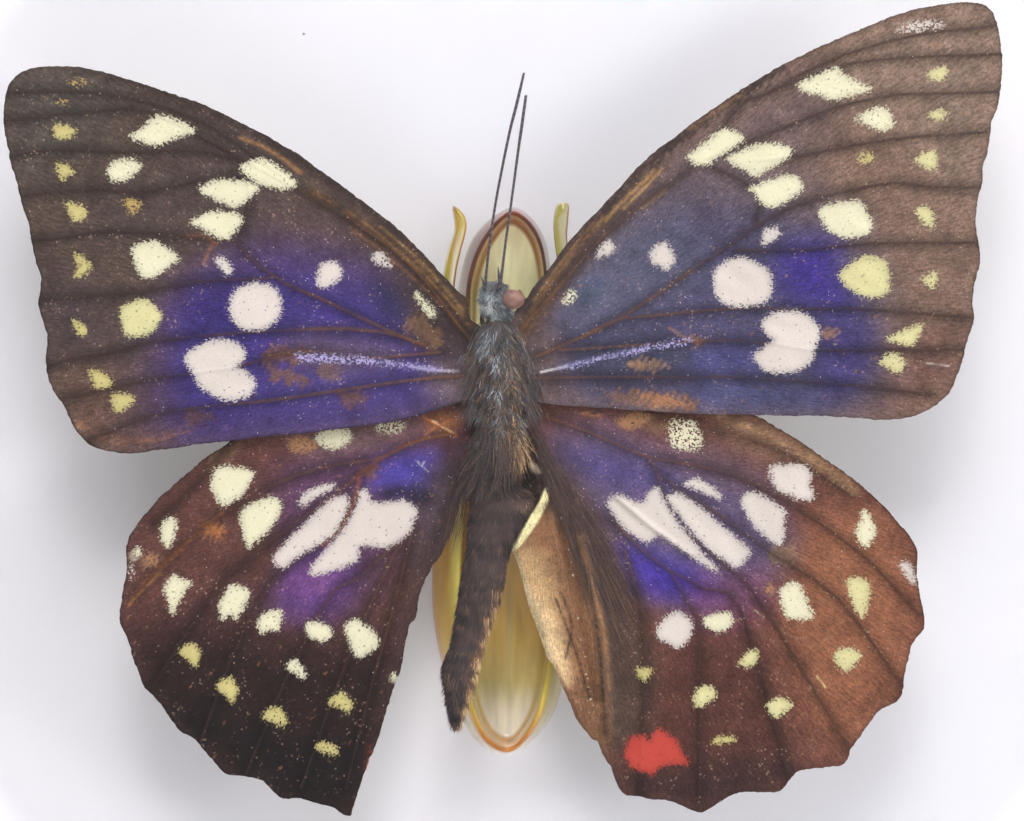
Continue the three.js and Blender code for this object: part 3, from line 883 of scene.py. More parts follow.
def lay_worn_and_shaded_lines(points, colour, lines):
    """Lays worn streaks and painted crease shade, given as (tone, half width, strength, marks), over a wing's colour.
    They are ragged.
    """
    ragged = 0.5 * clumps(points, 2.2, 41) + 0.5 * clumps(points, 0.8, 42)
    for tone, half_width, strength, marks in lines:
        gap, _ = near_line(points, smooth(plan(marks), steps=4))
        worn = np.clip(0.85 + 0.5 * ragged if half_width < 0.3 else 0.6 + ragged, 0, 1)
        share = strength * np.exp(-((gap / half_width) ** 2)) * worn
        colour += (np.array(linear(tone)[:3]) - colour) * share[:, None]
    return colour


def make_wing(name, design, height, seed, upper_scales, lower_scales, folds=None):
    """Builds a wing's sheet from its design, and stores what its scales' material reads at each point."""
    outline = smooth(plan(design["outline"]), closed=True, steps=3)
    around = np.linalg.norm(np.diff(outline, axis=0), axis=1).sum()
    rim = evenly(smooth(plan(design["outline"]), closed=True), round(around / CELL), closed=True)
    heading = np.roll(rim, -1, axis=0) - np.roll(rim, 1, axis=0)
    across = np.column_stack([heading[:, 1], -heading[:, 0]]) / np.linalg.norm(heading, axis=1)[:, None]
    draw = np.random.default_rng(seed)
    frayed = draw.normal(0, FRINGE * 0.6, len(rim)) + FRINGE * clumps(rim, 1.1, seed)
    frayed += 0.7 * FRINGE * clumps(rim, 4.0, seed + 1)
    rim = rim + across * frayed[:, None]
    top = np.concatenate([rim, lattice(outline, CELL, 0.13, seed)])
    under = np.concatenate([rim, lattice(outline, UNDER_CELL, 0.3, seed + 1)])
    top_faces = triangles(rim, top[len(rim) :])
    under_faces = triangles(rim, under[len(rim) :])
    flat = np.concatenate([top, under])

    veins = np.full(len(flat), 9.0)
    for marks in design["veins"]:
        veins = np.minimum(veins, near_line(flat, smooth(plan(marks), steps=3))[0])
    rise = WING_LIFT * (flat[:, 0] / HALF_SPAN) ** 2
    edge = depth_inside(flat, outline, 1.0)
    rib = RIB_HEIGHT * np.exp(-((veins / 0.18) ** 2)) - SAG * (1 - np.exp(-((veins / 1.3) ** 2)))
    ripple = 0.1 * clumps(flat, 9.0, seed + 2) + 0.03 * clumps(flat, 2.6, seed + 3)
    z = height + rise + (rib + ripple) * soft_step(edge, -0.1, 0.8)
    if folds:
        z += folds(flat)
    z[len(top) :] -= MEMBRANE
    points = np.column_stack([flat, z])
    count, ring = len(top), len(rim)
    upper = len(top_faces)
    faces = top_faces.tolist() + (count + under_faces[:, ::-1]).tolist()
    for i in range(ring):
        j = (i + 1) % ring
        faces.append((i, i + count, j + count, j))
    wing = mesh_piece(name, points, faces)
    wing.data.materials.append(upper_scales)
    wing.data.materials.append(lower_scales)
    wing.data.polygons.foreach_set("material_index", [0] * upper + [1] * (len(faces) - upper))
    wing.data.shade_smooth()

    ground = paint_ground(flat, design["brown"], design["tones"])
    ground = lay_worn_and_shaded_lines(flat, ground, design["rubbed"])
    spot = np.full(len(flat), -FAR)
    cover = np.ones(len(flat))
    tint = np.tile(np.array(linear(SPOT_COLOURS["cream"])[:3]), (len(flat), 1))
    for kind, share, marks in design["spots"]:
        depth = depth_inside(flat, smooth(plan(marks), closed=True, steps=4), 1.2)
        nearer = depth > spot
        spot[nearer] = depth[nearer]
        cover[nearer] = share
        tint[nearer] = linear(SPOT_COLOURS[kind])[:3]
    root = plan([design["root"]])[0]
    reach = np.linalg.norm(flat - root, axis=1)
    bearing = np.arctan2(flat[:, 1] - root[1], np.abs(flat[:, 0] - root[0]))
    for field, values in (("spot", spot), ("cover", cover), ("vein", veins), ("rim", edge)):
        wing.data.attributes.new(field, "FLOAT", "POINT").data.foreach_set("value", values.astype(np.float32))
    for field, values in (("ground", ground), ("tint", tint)):
        colours = np.column_stack([values, np.ones(len(values))]).astype(np.float32)
        wing.data.attributes.new(field, "FLOAT_COLOR", "POINT").data.foreach_set("color", colours.ravel())
    loops = np.zeros(len(wing.data.loops), np.int32)
    wing.data.loops.foreach_get("vertex_index", loops)
    rows = np.column_stack([reach, bearing * ROW_TURN])[loops] / ROW_UNIT
    wing.data.uv_layers.new(name="scale_rows").data.foreach_set("uv", rows.astype(np.float32).ravel())
    return wing


def wing_scales(name, sheen):
    """The upper side's scales: powdery chitin with a faint sheen, in rows that run out from the root.

    A scale is about 0.15 mm wide. The marks are streaky and worn at their edges, because scales drop one by one.
    """
    made, tree = new_material(name)
    vein, rim, spot, cover = (
        put(tree, "Attribute", attribute_name=of).outputs["Fac"] for of in ("vein", "rim", "spot", "cover")
    )
    ground, tint = (put(tree, "Attribute", attribute_name=of).outputs["Color"] for of in ("ground", "tint"))
    rows = put(tree, "UVMap", uv_map="scale_rows").outputs["UV"]
    reach = put(tree, "SeparateXYZ", {"Vector": rows}).outputs["X"]
    place = put(tree, "TexCoord").outputs["Object"]
    long_rows = put(tree, "Mapping", {"Vector": rows, "Scale": (110, 520, 1)})
    long_streaks = put(tree, "TexNoise", {"Vector": long_rows, "Scale": 1, "Detail": 3})
    short_rows = put(tree, "Mapping", {"Vector": rows, "Scale": (300, 900, 1)})
    short_streaks = put(tree, "TexNoise", {"Vector": short_rows, "Scale": 1, "Detail": 2})
    patches = put(tree, "TexNoise", {"Vector": place, "Scale": 420, "Detail": 3})
    single = put(tree, "TexVoronoi", {"Vector": place, "Scale": 6000})
    chance = put(tree, "SeparateColor", {0: single.outputs["Color"]}).outputs
    shares = {}
    for share, value, low, high, first, last in (
        ("long tone", long_streaks, 0.3, 0.7, 0.55, 1.03),
        ("short tone", short_streaks, 0.3, 0.7, -0.15, 0.15),
        ("patch tone", patches, 0.3, 0.7, 0.78, 1.22),
        ("scale tone", chance[0], 0, 1, 0.8, 1.2),
        ("vein tone", vein, 0.15, 1.1, 0.58, 1.06),
        ("rim tone", rim, 0, 0.4, 0.66, 1),
        ("off the root", reach, 0.06, 0.3, 0, 1),
        ("rib", vein, 0.06, 0.2, 0.75, 0),
        ("rib streaks", long_streaks, 0.25, 0.55, 0.5, 1),
        ("rib patches", patches, 0.36, 0.6, 0.35, 1),
        ("bare patches", patches, 0.45, 0.65, 0, 0.45),
        ("edge scales", chance[1], 0, 1, -0.2, 0.2),
        ("edge short", short_streaks, 0.3, 0.7, -0.2, 0.2),
        ("edge long", long_streaks, 0.25, 0.75, -0.12, 0.12),
        ("thinned", chance[2], 0, 1, -0.86, 0.14),
        ("lost", spot, 0.1, 1, 0.955, 0.99),
        ("spot depth", spot, 0, 0.7, 0.84, 1.04),
        ("spot short", short_streaks, 0.3, 0.7, 0.92, 1.06),
        ("fallen", reach, 0.03, 0.3, 0.982, 0.9975),
    ):
        ends = {"From Min": low, "From Max": high, "To Min": first, "To Max": last}
        shares[share] = put(tree, "MapRange", {"Value": value, **ends})

    tone = put(tree, "Math", {0: shares["long tone"], 1: shares["short tone"]}, operation="ADD")
    for share in ("patch tone", "scale tone", "vein tone", "rim tone"):
        tone = put(tree, "Math", {0: tone, 1: shares[share]}, operation="MULTIPLY")
    ground = put(tree, "VectorMath", {0: ground, "Scale": tone}, operation="SCALE")
    rib_ends = {"Color1": linear("#68452f"), "Color2": linear("#362420")}
    rib_tone = put(tree, "MixRGB", {"Fac": shares["off the root"], **rib_ends})
    rib = shares["rib"]
    for share in ("rib streaks", "rib patches"):
        rib = put(tree, "Math", {0: rib, 1: shares[share]}, operation="MULTIPLY")
    ground = put(tree, "MixRGB", {"Fac": rib, "Color1": ground, "Color2": rib_tone})
    bare = put(tree, "Math", {0: chance[1], 1: 0.965}, operation="GREATER_THAN")
    bare = put(tree, "Math", {0: bare, 1: shares["bare patches"]}, operation="MULTIPLY")
    ground = put(tree, "MixRGB", {"Fac": bare, "Color1": ground, "Color2": linear("#a58c78")})

    edge = spot
    for share in ("edge scales", "edge short", "edge long"):
        edge = put(tree, "Math", {0: edge, 1: shares[share]}, operation="ADD")
    pale = put(tree, "MapRange", {"Value": edge, "From Min": -0.16, "From Max": 0.14})
    thin = put(tree, "Math", {0: cover, 1: shares["thinned"]}, operation="ADD")
    thin = put(tree, "MapRange", {"Value": thin, "From Min": 0, "From Max": 0.14})
    lost = put(tree, "Math", {0: chance[0], 1: shares["lost"]}, operation="GREATER_THAN")
    kept = put(tree, "MapRange", {"Value": lost, "To Min": 1, "To Max": 0.5})
    for share in (thin, kept):
        pale = put(tree, "Math", {0: pale, 1: share}, operation="MULTIPLY")
    spot_tone = put(tree, "Math", {0: shares["spot depth"], 1: shares["spot short"]}, operation="MULTIPLY")
    spots = put(tree, "VectorMath", {0: tint, "Scale": spot_tone}, operation="SCALE")
    scales = put(tree, "MixRGB", {"Fac": pale, "Color1": ground, "Color2": spots})
    dust = put(tree, "Math", {0: single.outputs["Distance"], 1: 0.3}, operation="LESS_THAN")
    fallen = put(tree, "Math", {0: chance[2], 1: shares["fallen"]}, operation="GREATER_THAN")
    for share in (fallen, 0.6):
        dust = put(tree, "Math", {0: dust, 1: share}, operation="MULTIPLY")
    scales = put(tree, "MixRGB", {"Fac": dust, "Color1": scales, "Color2": linear("#d4ced4")})
    relief = put(tree, "Bump", {"Height": short_streaks, "Strength": 0.3, "Distance": 0.00005})
    bloom = {"Specular IOR Level": 0.12, "Sheen Weight": sheen, "Sheen Roughness": 0.4}
    finish = put(tree, "BsdfPrincipled", {"Base Color": scales, "Roughness": 0.62, "Normal": relief, **bloom})
    put(tree, "OutputMaterial", {"Surface": finish})
    return made


def wing_underside(name):
    """The lower side's scales: silver-green to buff, a little mottled, with the ribs showing darker."""
    made, tree = new_material(name)
    place = put(tree, "TexCoord").outputs["Object"]
    cloud = put(tree, "TexNoise", {"Vector": place, "Scale": 160, "Detail": 4})
    grain = put(tree, "TexNoise", {"Vector": place, "Scale": 3600, "Detail": 2})
    silver = put(tree, "MixRGB", {"Fac": cloud, "Color1": linear("#b9bfa2"), "Color2": linear("#c8b995")})
    speckle = put(tree, "MapRange", {"Value": grain, "From Min": 0.35, "From Max": 0.7, "To Max": 0.35})
    silver = put(tree, "MixRGB", {"Fac": speckle, "Color1": silver, "Color2": linear("#8e8768")})
    vein = put(tree, "Attribute", attribute_name="vein").outputs["Fac"]
    rib = put(tree, "MapRange", {"Value": vein, "From Min": 0.08, "From Max": 0.25, "To Min": 0.6, "To Max": 0.0})
    silver = put(tree, "MixRGB", {"Fac": rib, "Color1": silver, "Color2": linear("#6e5a3e")})
    relief = put(tree, "Bump", {"Height": grain, "Strength": 0.3, "Distance": 0.00005})
    bloom = {"Sheen Weight": 0.25, "Sheen Roughness": 0.35}
    finish = put(tree, "BsdfPrincipled", {"Base Color": silver, "Roughness": 0.5, "Normal": relief, **bloom})
    put(tree, "OutputMaterial", {"Surface": finish})
    return made


LEFT_HINDWING = {
    "root": (465, 430),
    "brown": "#523430",
    "outline": [
        (488, 408), (430, 378), (380, 372), (320, 388), (270, 412), (228.6, 442), (221, 448), (207, 456), (196.5, 465),
        (186, 474), (177.5, 481), (169, 489), (160, 496), (153, 505), (145, 513.5), (138, 522), (132.5, 531),
        (128, 539), (125.6, 548), (126, 558), (126, 571), (124, 581), (122, 593), (120.5, 605), (119, 615),
        (120.4, 626), (125.6, 636), (129, 645), (131, 654), (134, 664), (138.6, 674), (142, 685), (146, 690),
        (153, 697.4), (160, 704.8), (167, 715.4), (174, 725), (181, 733.5), (190, 737.7), (198, 745), (205, 754),
        (214, 764), (222.5, 773.5), (229, 776.4), (243, 778), (259, 781), (266, 786.5), (274, 795), (283, 800),
        (297, 800), (307, 803), (318, 806), (330, 808), (337, 813), (344, 817.6), (350, 817.6), (352, 811),
        (357.5, 793), (363, 776), (370, 759), (375, 747), (380, 732.4), (392, 691.1), (400, 671), (408, 629),
        (415, 620), (418, 600), (422.5, 586), (430, 571), (433.5, 564), (438, 560), (444.5, 547), (451, 533.5),
        (457, 515), (459, 502), (463, 490), (476, 474), (488, 440),
    ],
    "veins": [
        [
            (455, 434), (420, 440), (380, 458), (326, 467), (283, 481), (241.5, 503), (207, 524), (174, 551.5),
            (134, 596.5),
        ],
        [(359, 474), (342, 489), (318, 506.5), (280, 534), (241.5, 564), (207, 600), (150, 690)],
        [(359, 489), (349, 512), (330, 539), (302, 557), (266, 588), (230, 660), (200, 742)],
        [(403, 537), (379, 560), (354, 581), (330, 596), (285, 680), (245, 775)],
        [(403, 537), (372, 600), (335, 690), (300, 790)],
        [(412, 530), (395, 600), (370, 690), (345, 790)],
        [(359, 474), (380, 458)],
        [(230, 445), (180, 500), (150, 525)],
    ],
    "tones": [
        ("#5f3b35", 4.0, 0.9, [
            (230, 445), (150, 510), (130, 560), (140, 620), (220, 560), (300, 480), (340, 440), (320, 400),
        ]),
        ("#1a0f0e", 4.5, 0.85, [
            (130, 640), (200, 620), (300, 640), (400, 650), (390, 740), (350, 820), (270, 800), (180, 740), (140, 700),
        ]),
        ("#120d0d", 3.0, 0.8, [(150, 700), (230, 715), (310, 740), (360, 740), (350, 820), (280, 810), (200, 760)]),
        ("#573a56", 3.0, 0.9, [
            (450, 425), (380, 430), (300, 455), (270, 500), (290, 560), (270, 610), (350, 610), (400, 540), (440, 480),
        ]),
        ("#5e3a78", 2.0, 0.75, [(290, 560), (340, 540), (350, 590), (320, 620), (280, 610)]),
        ("#7b4d86", 1.2, 0.6, [(295, 572), (330, 566), (330, 592), (300, 596)]),
        ("#4b429a", 1.8, 0.85, [(375, 465), (410, 452), (435, 455), (425, 490), (395, 492), (370, 485)]),
        ("#4a4047", 2.0, 0.8, [(430, 470), (462, 460), (455, 510), (435, 560), (412, 560), (420, 500)]),
        ("#735255", 1.6, 0.75, [(455, 412), (400, 420), (395, 440), (440, 440)]),
        ("#80502f", 0.7, 0.85, [(460, 412), (430, 413), (424, 424), (436, 434), (456, 436)]),
        ("#1c1a26", 0.8, 0.75, [(378, 493), (400, 484), (424, 487), (436, 500), (418, 509), (403, 499), (385, 500)]),
        ("#a3683f", 0.35, 0.85, [(203, 529), (211, 524), (222, 528), (216, 536), (206, 537)]),
        ("#8a6a52", 0.35, 0.8, [(141, 560), (150, 555), (160, 560), (152, 566), (142, 567)]),
        ("#b0a090", 0.3, 0.8, [(128, 556), (134, 551), (139, 556), (133, 562)]),
        ("#7c5c48", 0.4, 0.6, [(214, 470), (206, 456), (226, 444), (240, 448), (232, 460)]),
        ("#8a5a3a", 0.4, 0.7, [(360, 468), (372, 464), (380, 470), (368, 478)]),
        ("#765a58", 1.5, 0.7, [(400, 425), (330, 428), (290, 440), (300, 455), (350, 455), (395, 440)]),
        ("#4a3834", 1.8, 0.8, [(440, 545), (415, 560), (392, 680), (400, 700), (416, 625), (432, 575)]),
    ],
    "rubbed": [
        ("#9a5f38", 0.22, 0.75, [(222, 513), (193, 536), (157, 569), (134, 596)]),
        ("#a5673a", 0.5, 0.6, [(203, 524), (212, 530), (221, 536)]),
        ("#c0703c", 0.14, 0.9, [(423, 417), (434, 423), (446, 429), (456, 436)]),
        ("#f0d0a4", 0.07, 0.9, [(432, 421), (442, 427), (455, 434)]),
        ("#b06c40", 0.12, 0.85, [(424, 435), (434, 428), (448, 421)]),
        ("#d0c8d0", 0.06, 0.8, [(415, 460), (421, 466), (428, 472)]),
        ("#c8c0cc", 0.06, 0.7, [(421, 466), (424, 462)]),
        ("#a05a44", 0.2, 0.85, [(359, 474), (356, 492), (349, 512), (338, 530), (322, 546)]),
        ("#8f5236", 0.18, 0.8, [(455, 434), (420, 440), (395, 450), (372, 466), (352, 480)]),
        ("#a8763f", 0.16, 0.75, [(160, 572), (148, 584), (134, 598), (128, 606)]),
        ("#8c5a38", 0.2, 0.7, [(190, 540), (174, 556), (160, 568)]),
        ("#8a4030", 0.3, 0.8, [(371, 750), (366, 772)]),
    ],
    "spots": [
        ("cream", 1.0, [
            (214, 470), (224, 466), (248.5, 470), (252, 477), (243, 493), (235, 500), (221, 506), (214, 496),
            (210, 486),
        ]),
        ("cream", 1.0, [
            (240, 513.5), (248.5, 505), (269, 497), (278, 501), (280, 510), (271, 527), (254, 543), (247, 548),
            (240, 527),
        ]),
        ("cream", 1.0, [(169, 517), (174, 520), (176, 527), (169, 547), (164, 545), (160, 535), (162, 523)]),
        ("cream", 0.95, [
            (174, 575), (179, 579), (191, 582), (184, 591), (179, 602), (171.5, 614.5), (167, 602), (163, 591),
            (167, 581),
        ]),
        ("cream", 0.9, [(137, 548), (141, 552), (137, 556), (133, 552)]),
        ("white", 0.4, [(131, 565), (134, 574), (131, 582), (128, 574)]),
        ("tan", 0.5, [(143, 557), (152, 556), (160, 561), (152, 566), (144, 562)]),
        ("cream", 0.95, [
            (231, 585), (247.6, 591), (247, 600), (236, 619), (229, 616), (221, 620), (218, 607), (222.5, 595),
        ]),
        ("cream", 0.95, [(257, 622.5), (262, 615.6), (274, 611), (280, 613), (278, 631), (269, 631), (260, 634)]),
        ("cream", 0.95, [(306, 626), (309, 622.5), (326, 626), (331, 633), (328, 640), (319, 643), (307, 636)]),
        ("cream", 0.95, [
            (344, 633), (345, 626), (352, 621), (361, 624), (375, 635), (378, 642), (375, 650), (357.5, 659),
            (350, 647),
        ]),
        ("straw", 0.95, [(177.5, 654), (183, 647), (193, 645), (199, 652), (198, 661), (195, 667.5), (184, 658)]),
        ("straw", 0.9, [(216, 688), (221, 681), (229, 678), (235, 685), (237, 693.5), (231, 704), (226, 699)]),
        ("cream", 0.9, [(286.5, 669), (290, 662), (297, 661), (300, 667.5), (305, 676), (300, 680), (293.5, 674)]),
        ("straw", 0.9, [(328, 704), (333, 697), (342, 693.5), (348, 700), (352, 707), (347, 714), (338.5, 709)]),
        ("straw", 0.85, [(262, 719), (266, 711), (276, 708), (283, 714), (286, 723), (280, 728), (269, 723)]),
        ("straw", 0.85, [(315, 749), (319, 744), (330, 744.5), (337, 751), (335, 757), (325, 755)]),
        ("cream", 0.9, [(393, 675), (396, 679), (393, 683), (390, 679)]),
        ("white", 1.0, [
            (344, 496), (348, 503), (345, 513.5), (338.5, 527), (330, 538), (309, 550), (288, 564), (283, 569),
            (273, 564.5), (274, 555), (293.5, 534), (306, 522), (328, 501), (337, 497),
        ]),
        ("white", 1.0, [
            (359, 491), (366.5, 491), (371, 501), (381, 503), (403, 500.6), (416.5, 510), (414, 520), (409, 533.5),
            (390, 547), (381, 548), (371, 547), (359, 548), (358, 558), (350, 565), (330, 572.5), (311, 576),
            (312.5, 564), (333, 541), (344, 527), (352, 513.5), (357.5, 500),
        ]),
        ("white", 0.95, [(297, 503), (304, 494), (314, 487.5), (333, 484), (330, 489), (311, 500), (304, 505)]),
        ("cream", 0.85, [(314, 438), (326, 430), (342, 429), (351, 435), (345, 445), (333, 449), (320, 446)]),
        ("tan", 0.75, [(287, 441), (300, 436), (312, 440), (316, 448), (302, 453), (290, 451)]),
        ("cream", 0.5, [(374, 427), (390, 421), (406, 424), (398, 432), (382, 433)]),
    ],
}
RIGHT_HINDWING = {
    "root": (535, 430),
    "brown": "#6a4238",
    # The outline runs in from (511, 549) to (508, 440) over the hollow between the thorax and the wing root, so that
    # the sheet there is painted dark as shade.
    "outline": [
        (512, 408), (570, 380), (630, 372), (690, 385), (758, 416), (767, 421), (780, 429), (799, 440), (815, 451),
        (831.5, 462.5), (849, 475), (861, 485), (875, 497.5), (888, 510), (900, 524), (910, 536), (915, 545),
        (918, 553), (917, 565), (917, 573), (919, 585), (921, 598), (924, 612), (925, 623), (923, 631), (915, 640),
        (911.5, 648), (909, 660), (905, 674), (904, 689), (902, 696.3), (897, 702.1), (889, 706.8), (880, 711),
        (874, 718.4), (866, 729.9), (858.5, 740.9), (851.5, 750.5), (848, 761), (841.5, 766.5), (829, 768.5),
        (814, 769.5), (800, 772.5), (794, 777.5), (788, 785.5), (781.5, 792.5), (774, 793.5), (758.5, 793.5),
        (741.5, 794.5), (728, 799.5), (715, 807.5), (708, 812.5), (700, 814.5), (690, 811.5), (680, 806.5),
        (668, 802.5), (653, 801.5), (640, 798.5), (628, 797.5), (623, 794.5), (617, 784.5), (612, 770.5), (607, 762.5),
        (602, 754.5), (599, 744.5), (592, 740.4), (585, 732), (577.5, 721.5), (572, 708.9), (565, 693.1), (558, 677),
        (552.5, 665), (547, 657), (534, 620), (528, 604), (524, 587), (519, 568), (514, 556), (511, 549), (507, 530),
        (504, 505), (504, 480), (507, 455), (508, 440),
    ],
    "veins": [
        [
            (540, 415), (581, 429), (614, 443), (649, 457), (687, 464), (730, 474), (770, 492), (807, 514), (842, 539),
            (875, 566), (920, 615),
        ],
        [(656, 469), (675, 486.5), (708, 507), (741, 530), (770, 552), (840, 600), (905, 690)],
        [(661, 486.5), (673, 514), (692, 537), (728.5, 568), (760, 600), (850, 750)],
        [(611, 519), (638.5, 547), (670, 571), (708, 590), (742, 611), (790, 780)],
        [(670, 571), (689, 604), (700, 640), (700, 812)],
        [(625, 551), (637, 589), (644, 625), (645, 700), (640, 795)],
        [(648, 457), (656, 469), (661, 486.5)],
        [(640, 412), (700, 425), (780, 450), (850, 495)],
    ],
    "tones": [
        ("#8c5a40", 4.0, 0.85, [
            (790, 530), (880, 510), (915, 570), (915, 650), (860, 740), (800, 720), (780, 640), (790, 580),
        ]),
        ("#4e2d27", 4.0, 0.85, [(640, 650), (740, 630), (790, 680), (790, 760), (720, 800), (640, 790), (600, 740)]),
        ("#2e201f", 2.5, 0.8, [(620, 770), (700, 765), (790, 755), (790, 790), (700, 815), (625, 800)]),
        ("#5c5070", 3.0, 0.9, [
            (545, 440), (600, 425), (660, 450), (740, 470), (790, 540), (740, 600), (650, 600), (600, 540), (560, 480),
        ]),
        ("#4d4278", 2.0, 0.75, [(560, 455), (620, 455), (670, 480), (640, 490), (590, 480)]),
        ("#4430a0", 1.8, 0.8, [(620, 548), (660, 556), (710, 580), (720, 600), (680, 600), (640, 590)]),
        ("#70405e", 2.2, 0.6, [(700, 575), (760, 570), (770, 610), (720, 630), (690, 610)]),
        ("#60484c", 2.5, 0.7, [(690, 440), (740, 455), (790, 480), (760, 490), (700, 470)]),
        ("#8a6b54", 2.0, 0.75, [(715, 416), (770, 425), (815, 455), (800, 462), (740, 445)]),
        ("#4e3d34", 2.5, 0.92, [
            (520, 440), (560, 460), (600, 510), (630, 580), (650, 660), (640, 740), (600, 745), (575, 680), (540, 520),
        ]),
        # Painted shade: the dark hollow between the thorax and the wing root.
        ("#3a2d29", 0.8, 0.95, [(505, 430), (532, 436), (548, 470), (545, 490), (530, 503), (505, 500)]),
        ("#8f7052", 0.35, 0.7, [(812, 452), (836, 468), (860, 490), (852, 496), (828, 478), (806, 460)]),
        ("#8f7256", 0.4, 0.6, [(770, 548), (790, 545), (800, 556), (790, 566), (774, 562)]),
        ("#8a6a50", 0.4, 0.6, [(640, 420), (662, 418), (672, 426), (660, 432), (644, 430)]),
        ("#92684a", 1.2, 0.9, [
            (513, 549), (540, 512), (562, 516), (582, 550), (600, 620), (606, 740), (590, 738), (565, 695), (528, 600),
        ]),
        ("#b8966c", 1.4, 0.9, [
            (513, 552), (530, 548), (550, 570), (562, 630), (566, 680), (552, 668), (530, 612), (518, 575),
        ]),
        ("#6e4e38", 1.0, 0.8, [(570, 694), (600, 686), (610, 744), (592, 742)]),
        ("#dcbc90", 1.1, 0.9, [(532, 602), (546, 610), (560, 640), (568, 684), (554, 668), (540, 640)]),
        ("#dcc8a0", 0.25, 0.6, [
            (511, 550), (518, 556), (532, 596), (548, 640), (556, 668), (548, 660), (532, 618), (520, 584),
        ]),
        # Painted shade: the sheet over the hollow beside the abdomen's root.
        ("#352722", 0.25, 0.95, [
            (511, 550), (519, 534), (531, 517), (540, 500), (545, 486), (530, 468), (505, 466), (500, 510), (504, 540),
        ]),
        ("#f4e8b0", 0.12, 1.0, [
            (546, 488), (549, 496), (546, 507), (535, 527), (521, 546), (514, 552), (511, 548), (520, 533), (529, 518),
            (539, 504),
        ]),
        # Painted shadow at the deepest place of the hollow.
        ("#141110", 0.4, 0.7, [(513, 477), (522, 471), (532, 474), (536, 481), (526, 484), (516, 485)]),
        # Painted highlight at the hollow's edge.
        ("#d0c0a4", 0.25, 0.75, [(529, 463), (536, 465), (541, 473), (534, 472)]),
        ("#a58a68", 0.4, 0.8, [(514, 432), (524, 430), (529, 442), (526, 456), (516, 454)]),
    ],
    "rubbed": [
        # The first three are dark lines along the turned-in margin's pleats: painted shade in their folds.
        ("#33251f", 0.16, 0.9, [(560, 590), (572, 625), (566, 660)]),
        ("#3a2a22", 0.14, 0.9, [(556, 600), (575, 650), (590, 700)]),
        ("#2f2420", 0.22, 0.85, [(575, 545), (590, 590), (600, 650), (606, 735)]),
        ("#9a7450", 0.25, 0.7, [(592, 580), (604, 630), (610, 690)]),
        ("#6b5038", 0.3, 0.7, [(545, 505), (552, 540), (566, 600)]),
        ("#d8cc90", 0.07, 0.8, [(756, 611), (765, 618)]),
        ("#d8cc90", 0.07, 0.8, [(818, 677), (826, 688)]),
        ("#b9926a", 0.35, 0.6, [(715, 414), (760, 432), (810, 460)]),
        ("#c98a58", 0.35, 0.7, [(585, 412), (600, 416)]),
    ],
    "spots": [
        ("tan", 0.85, [(617, 420), (627, 415), (643, 414), (653, 418), (640, 427), (625, 430)]),
        ("cream", 0.6, [(670, 425), (677, 420), (688, 420), (698, 425), (703, 443), (695, 450), (673, 447)]),
        ("white", 1.0, [
            (770, 469), (780, 465), (803, 464.5), (810, 469), (813, 477), (811, 485), (815, 493), (813, 499.5),
            (801, 500), (782, 492), (774, 484),
        ]),
        ("white", 1.0, [
            (743, 504), (743, 497.5), (749, 493), (759, 493), (779, 506), (787, 512), (786, 518), (784, 539),
            (780, 546), (766, 536.5), (755, 526), (747, 515),
        ]),
        ("cream", 1.0, [(865, 510), (875, 524), (875, 538), (866, 547), (860, 542), (857, 530), (861, 522)]),
        ("white", 0.95, [(900, 565), (908, 563), (914, 571.5), (916, 584), (908, 578)]),
        ("yellow", 0.95, [
            (848, 585), (852, 578), (866.5, 580), (871, 588), (870, 597), (865, 617), (860, 615), (854, 604),
        ]),
        ("cream", 0.95, [
            (780, 593), (787, 585), (795, 582), (801, 586), (811, 608), (814, 616), (809, 620), (792, 620), (786, 615),
        ]),
        ("tan", 0.7, [(771, 584), (777, 590), (771, 596), (765, 590)]),
        ("white", 1.0, [
            (657.5, 632), (662, 623), (670, 616), (680, 612.5), (692.5, 622), (692.5, 633), (688, 643), (680, 649),
            (672, 646), (659, 639),
        ]),
        ("cream", 1.0, [(706, 625), (708, 617), (728, 613), (733, 618), (732, 627), (717, 633)]),
        ("straw", 0.88, [(637.5, 675), (640, 669), (653, 670), (650, 677), (645, 683)]),
        ("yellow", 0.92, [(740, 667), (742, 660), (750, 652), (757, 651), (759, 658), (753, 667)]),
        ("yellow", 0.97, [(694, 700), (697, 692), (705, 687), (713, 689), (718, 695), (713, 701), (698, 709)]),
        ("yellow", 0.93, [(835, 657), (843, 649), (854, 649), (861.5, 654), (860, 661), (845, 672)]),
        ("yellow", 0.93, [(768, 708), (772, 701.5), (781.5, 698.5), (791, 703), (792, 708), (777, 718.5)]),
        ("straw", 0.95, [(714, 745), (718.5, 738.5), (735, 738.5), (734, 743), (723, 744.6)]),
        ("red", 0.97, [
            (626, 758), (628, 745), (632, 738), (645, 736), (649, 742), (657, 732), (662, 731), (677, 742), (683, 753),
            (688, 765), (663, 768), (655, 776), (643, 773), (633, 770),
        ]),
        ("white", 1.0, [
            (608, 504), (612.5, 497), (619, 495), (637, 502), (645, 502), (648, 494), (654, 489), (660, 489),
            (663, 497), (678, 521), (697, 545), (720, 573), (702.5, 564), (680, 549), (661, 537), (647, 543),
            (628, 531.5), (611, 511),
        ]),
        ("white", 1.0, [
            (668, 497), (675, 493.5), (683.5, 495), (706, 511), (727, 530), (747.5, 547), (751, 554), (739, 568),
            (730, 564), (709, 549), (689, 528), (673, 507),
        ]),
        ("white", 0.9, [(685, 485), (692, 480), (702.5, 480), (718, 492), (721.5, 499.5), (701, 492)]),
    ],
}


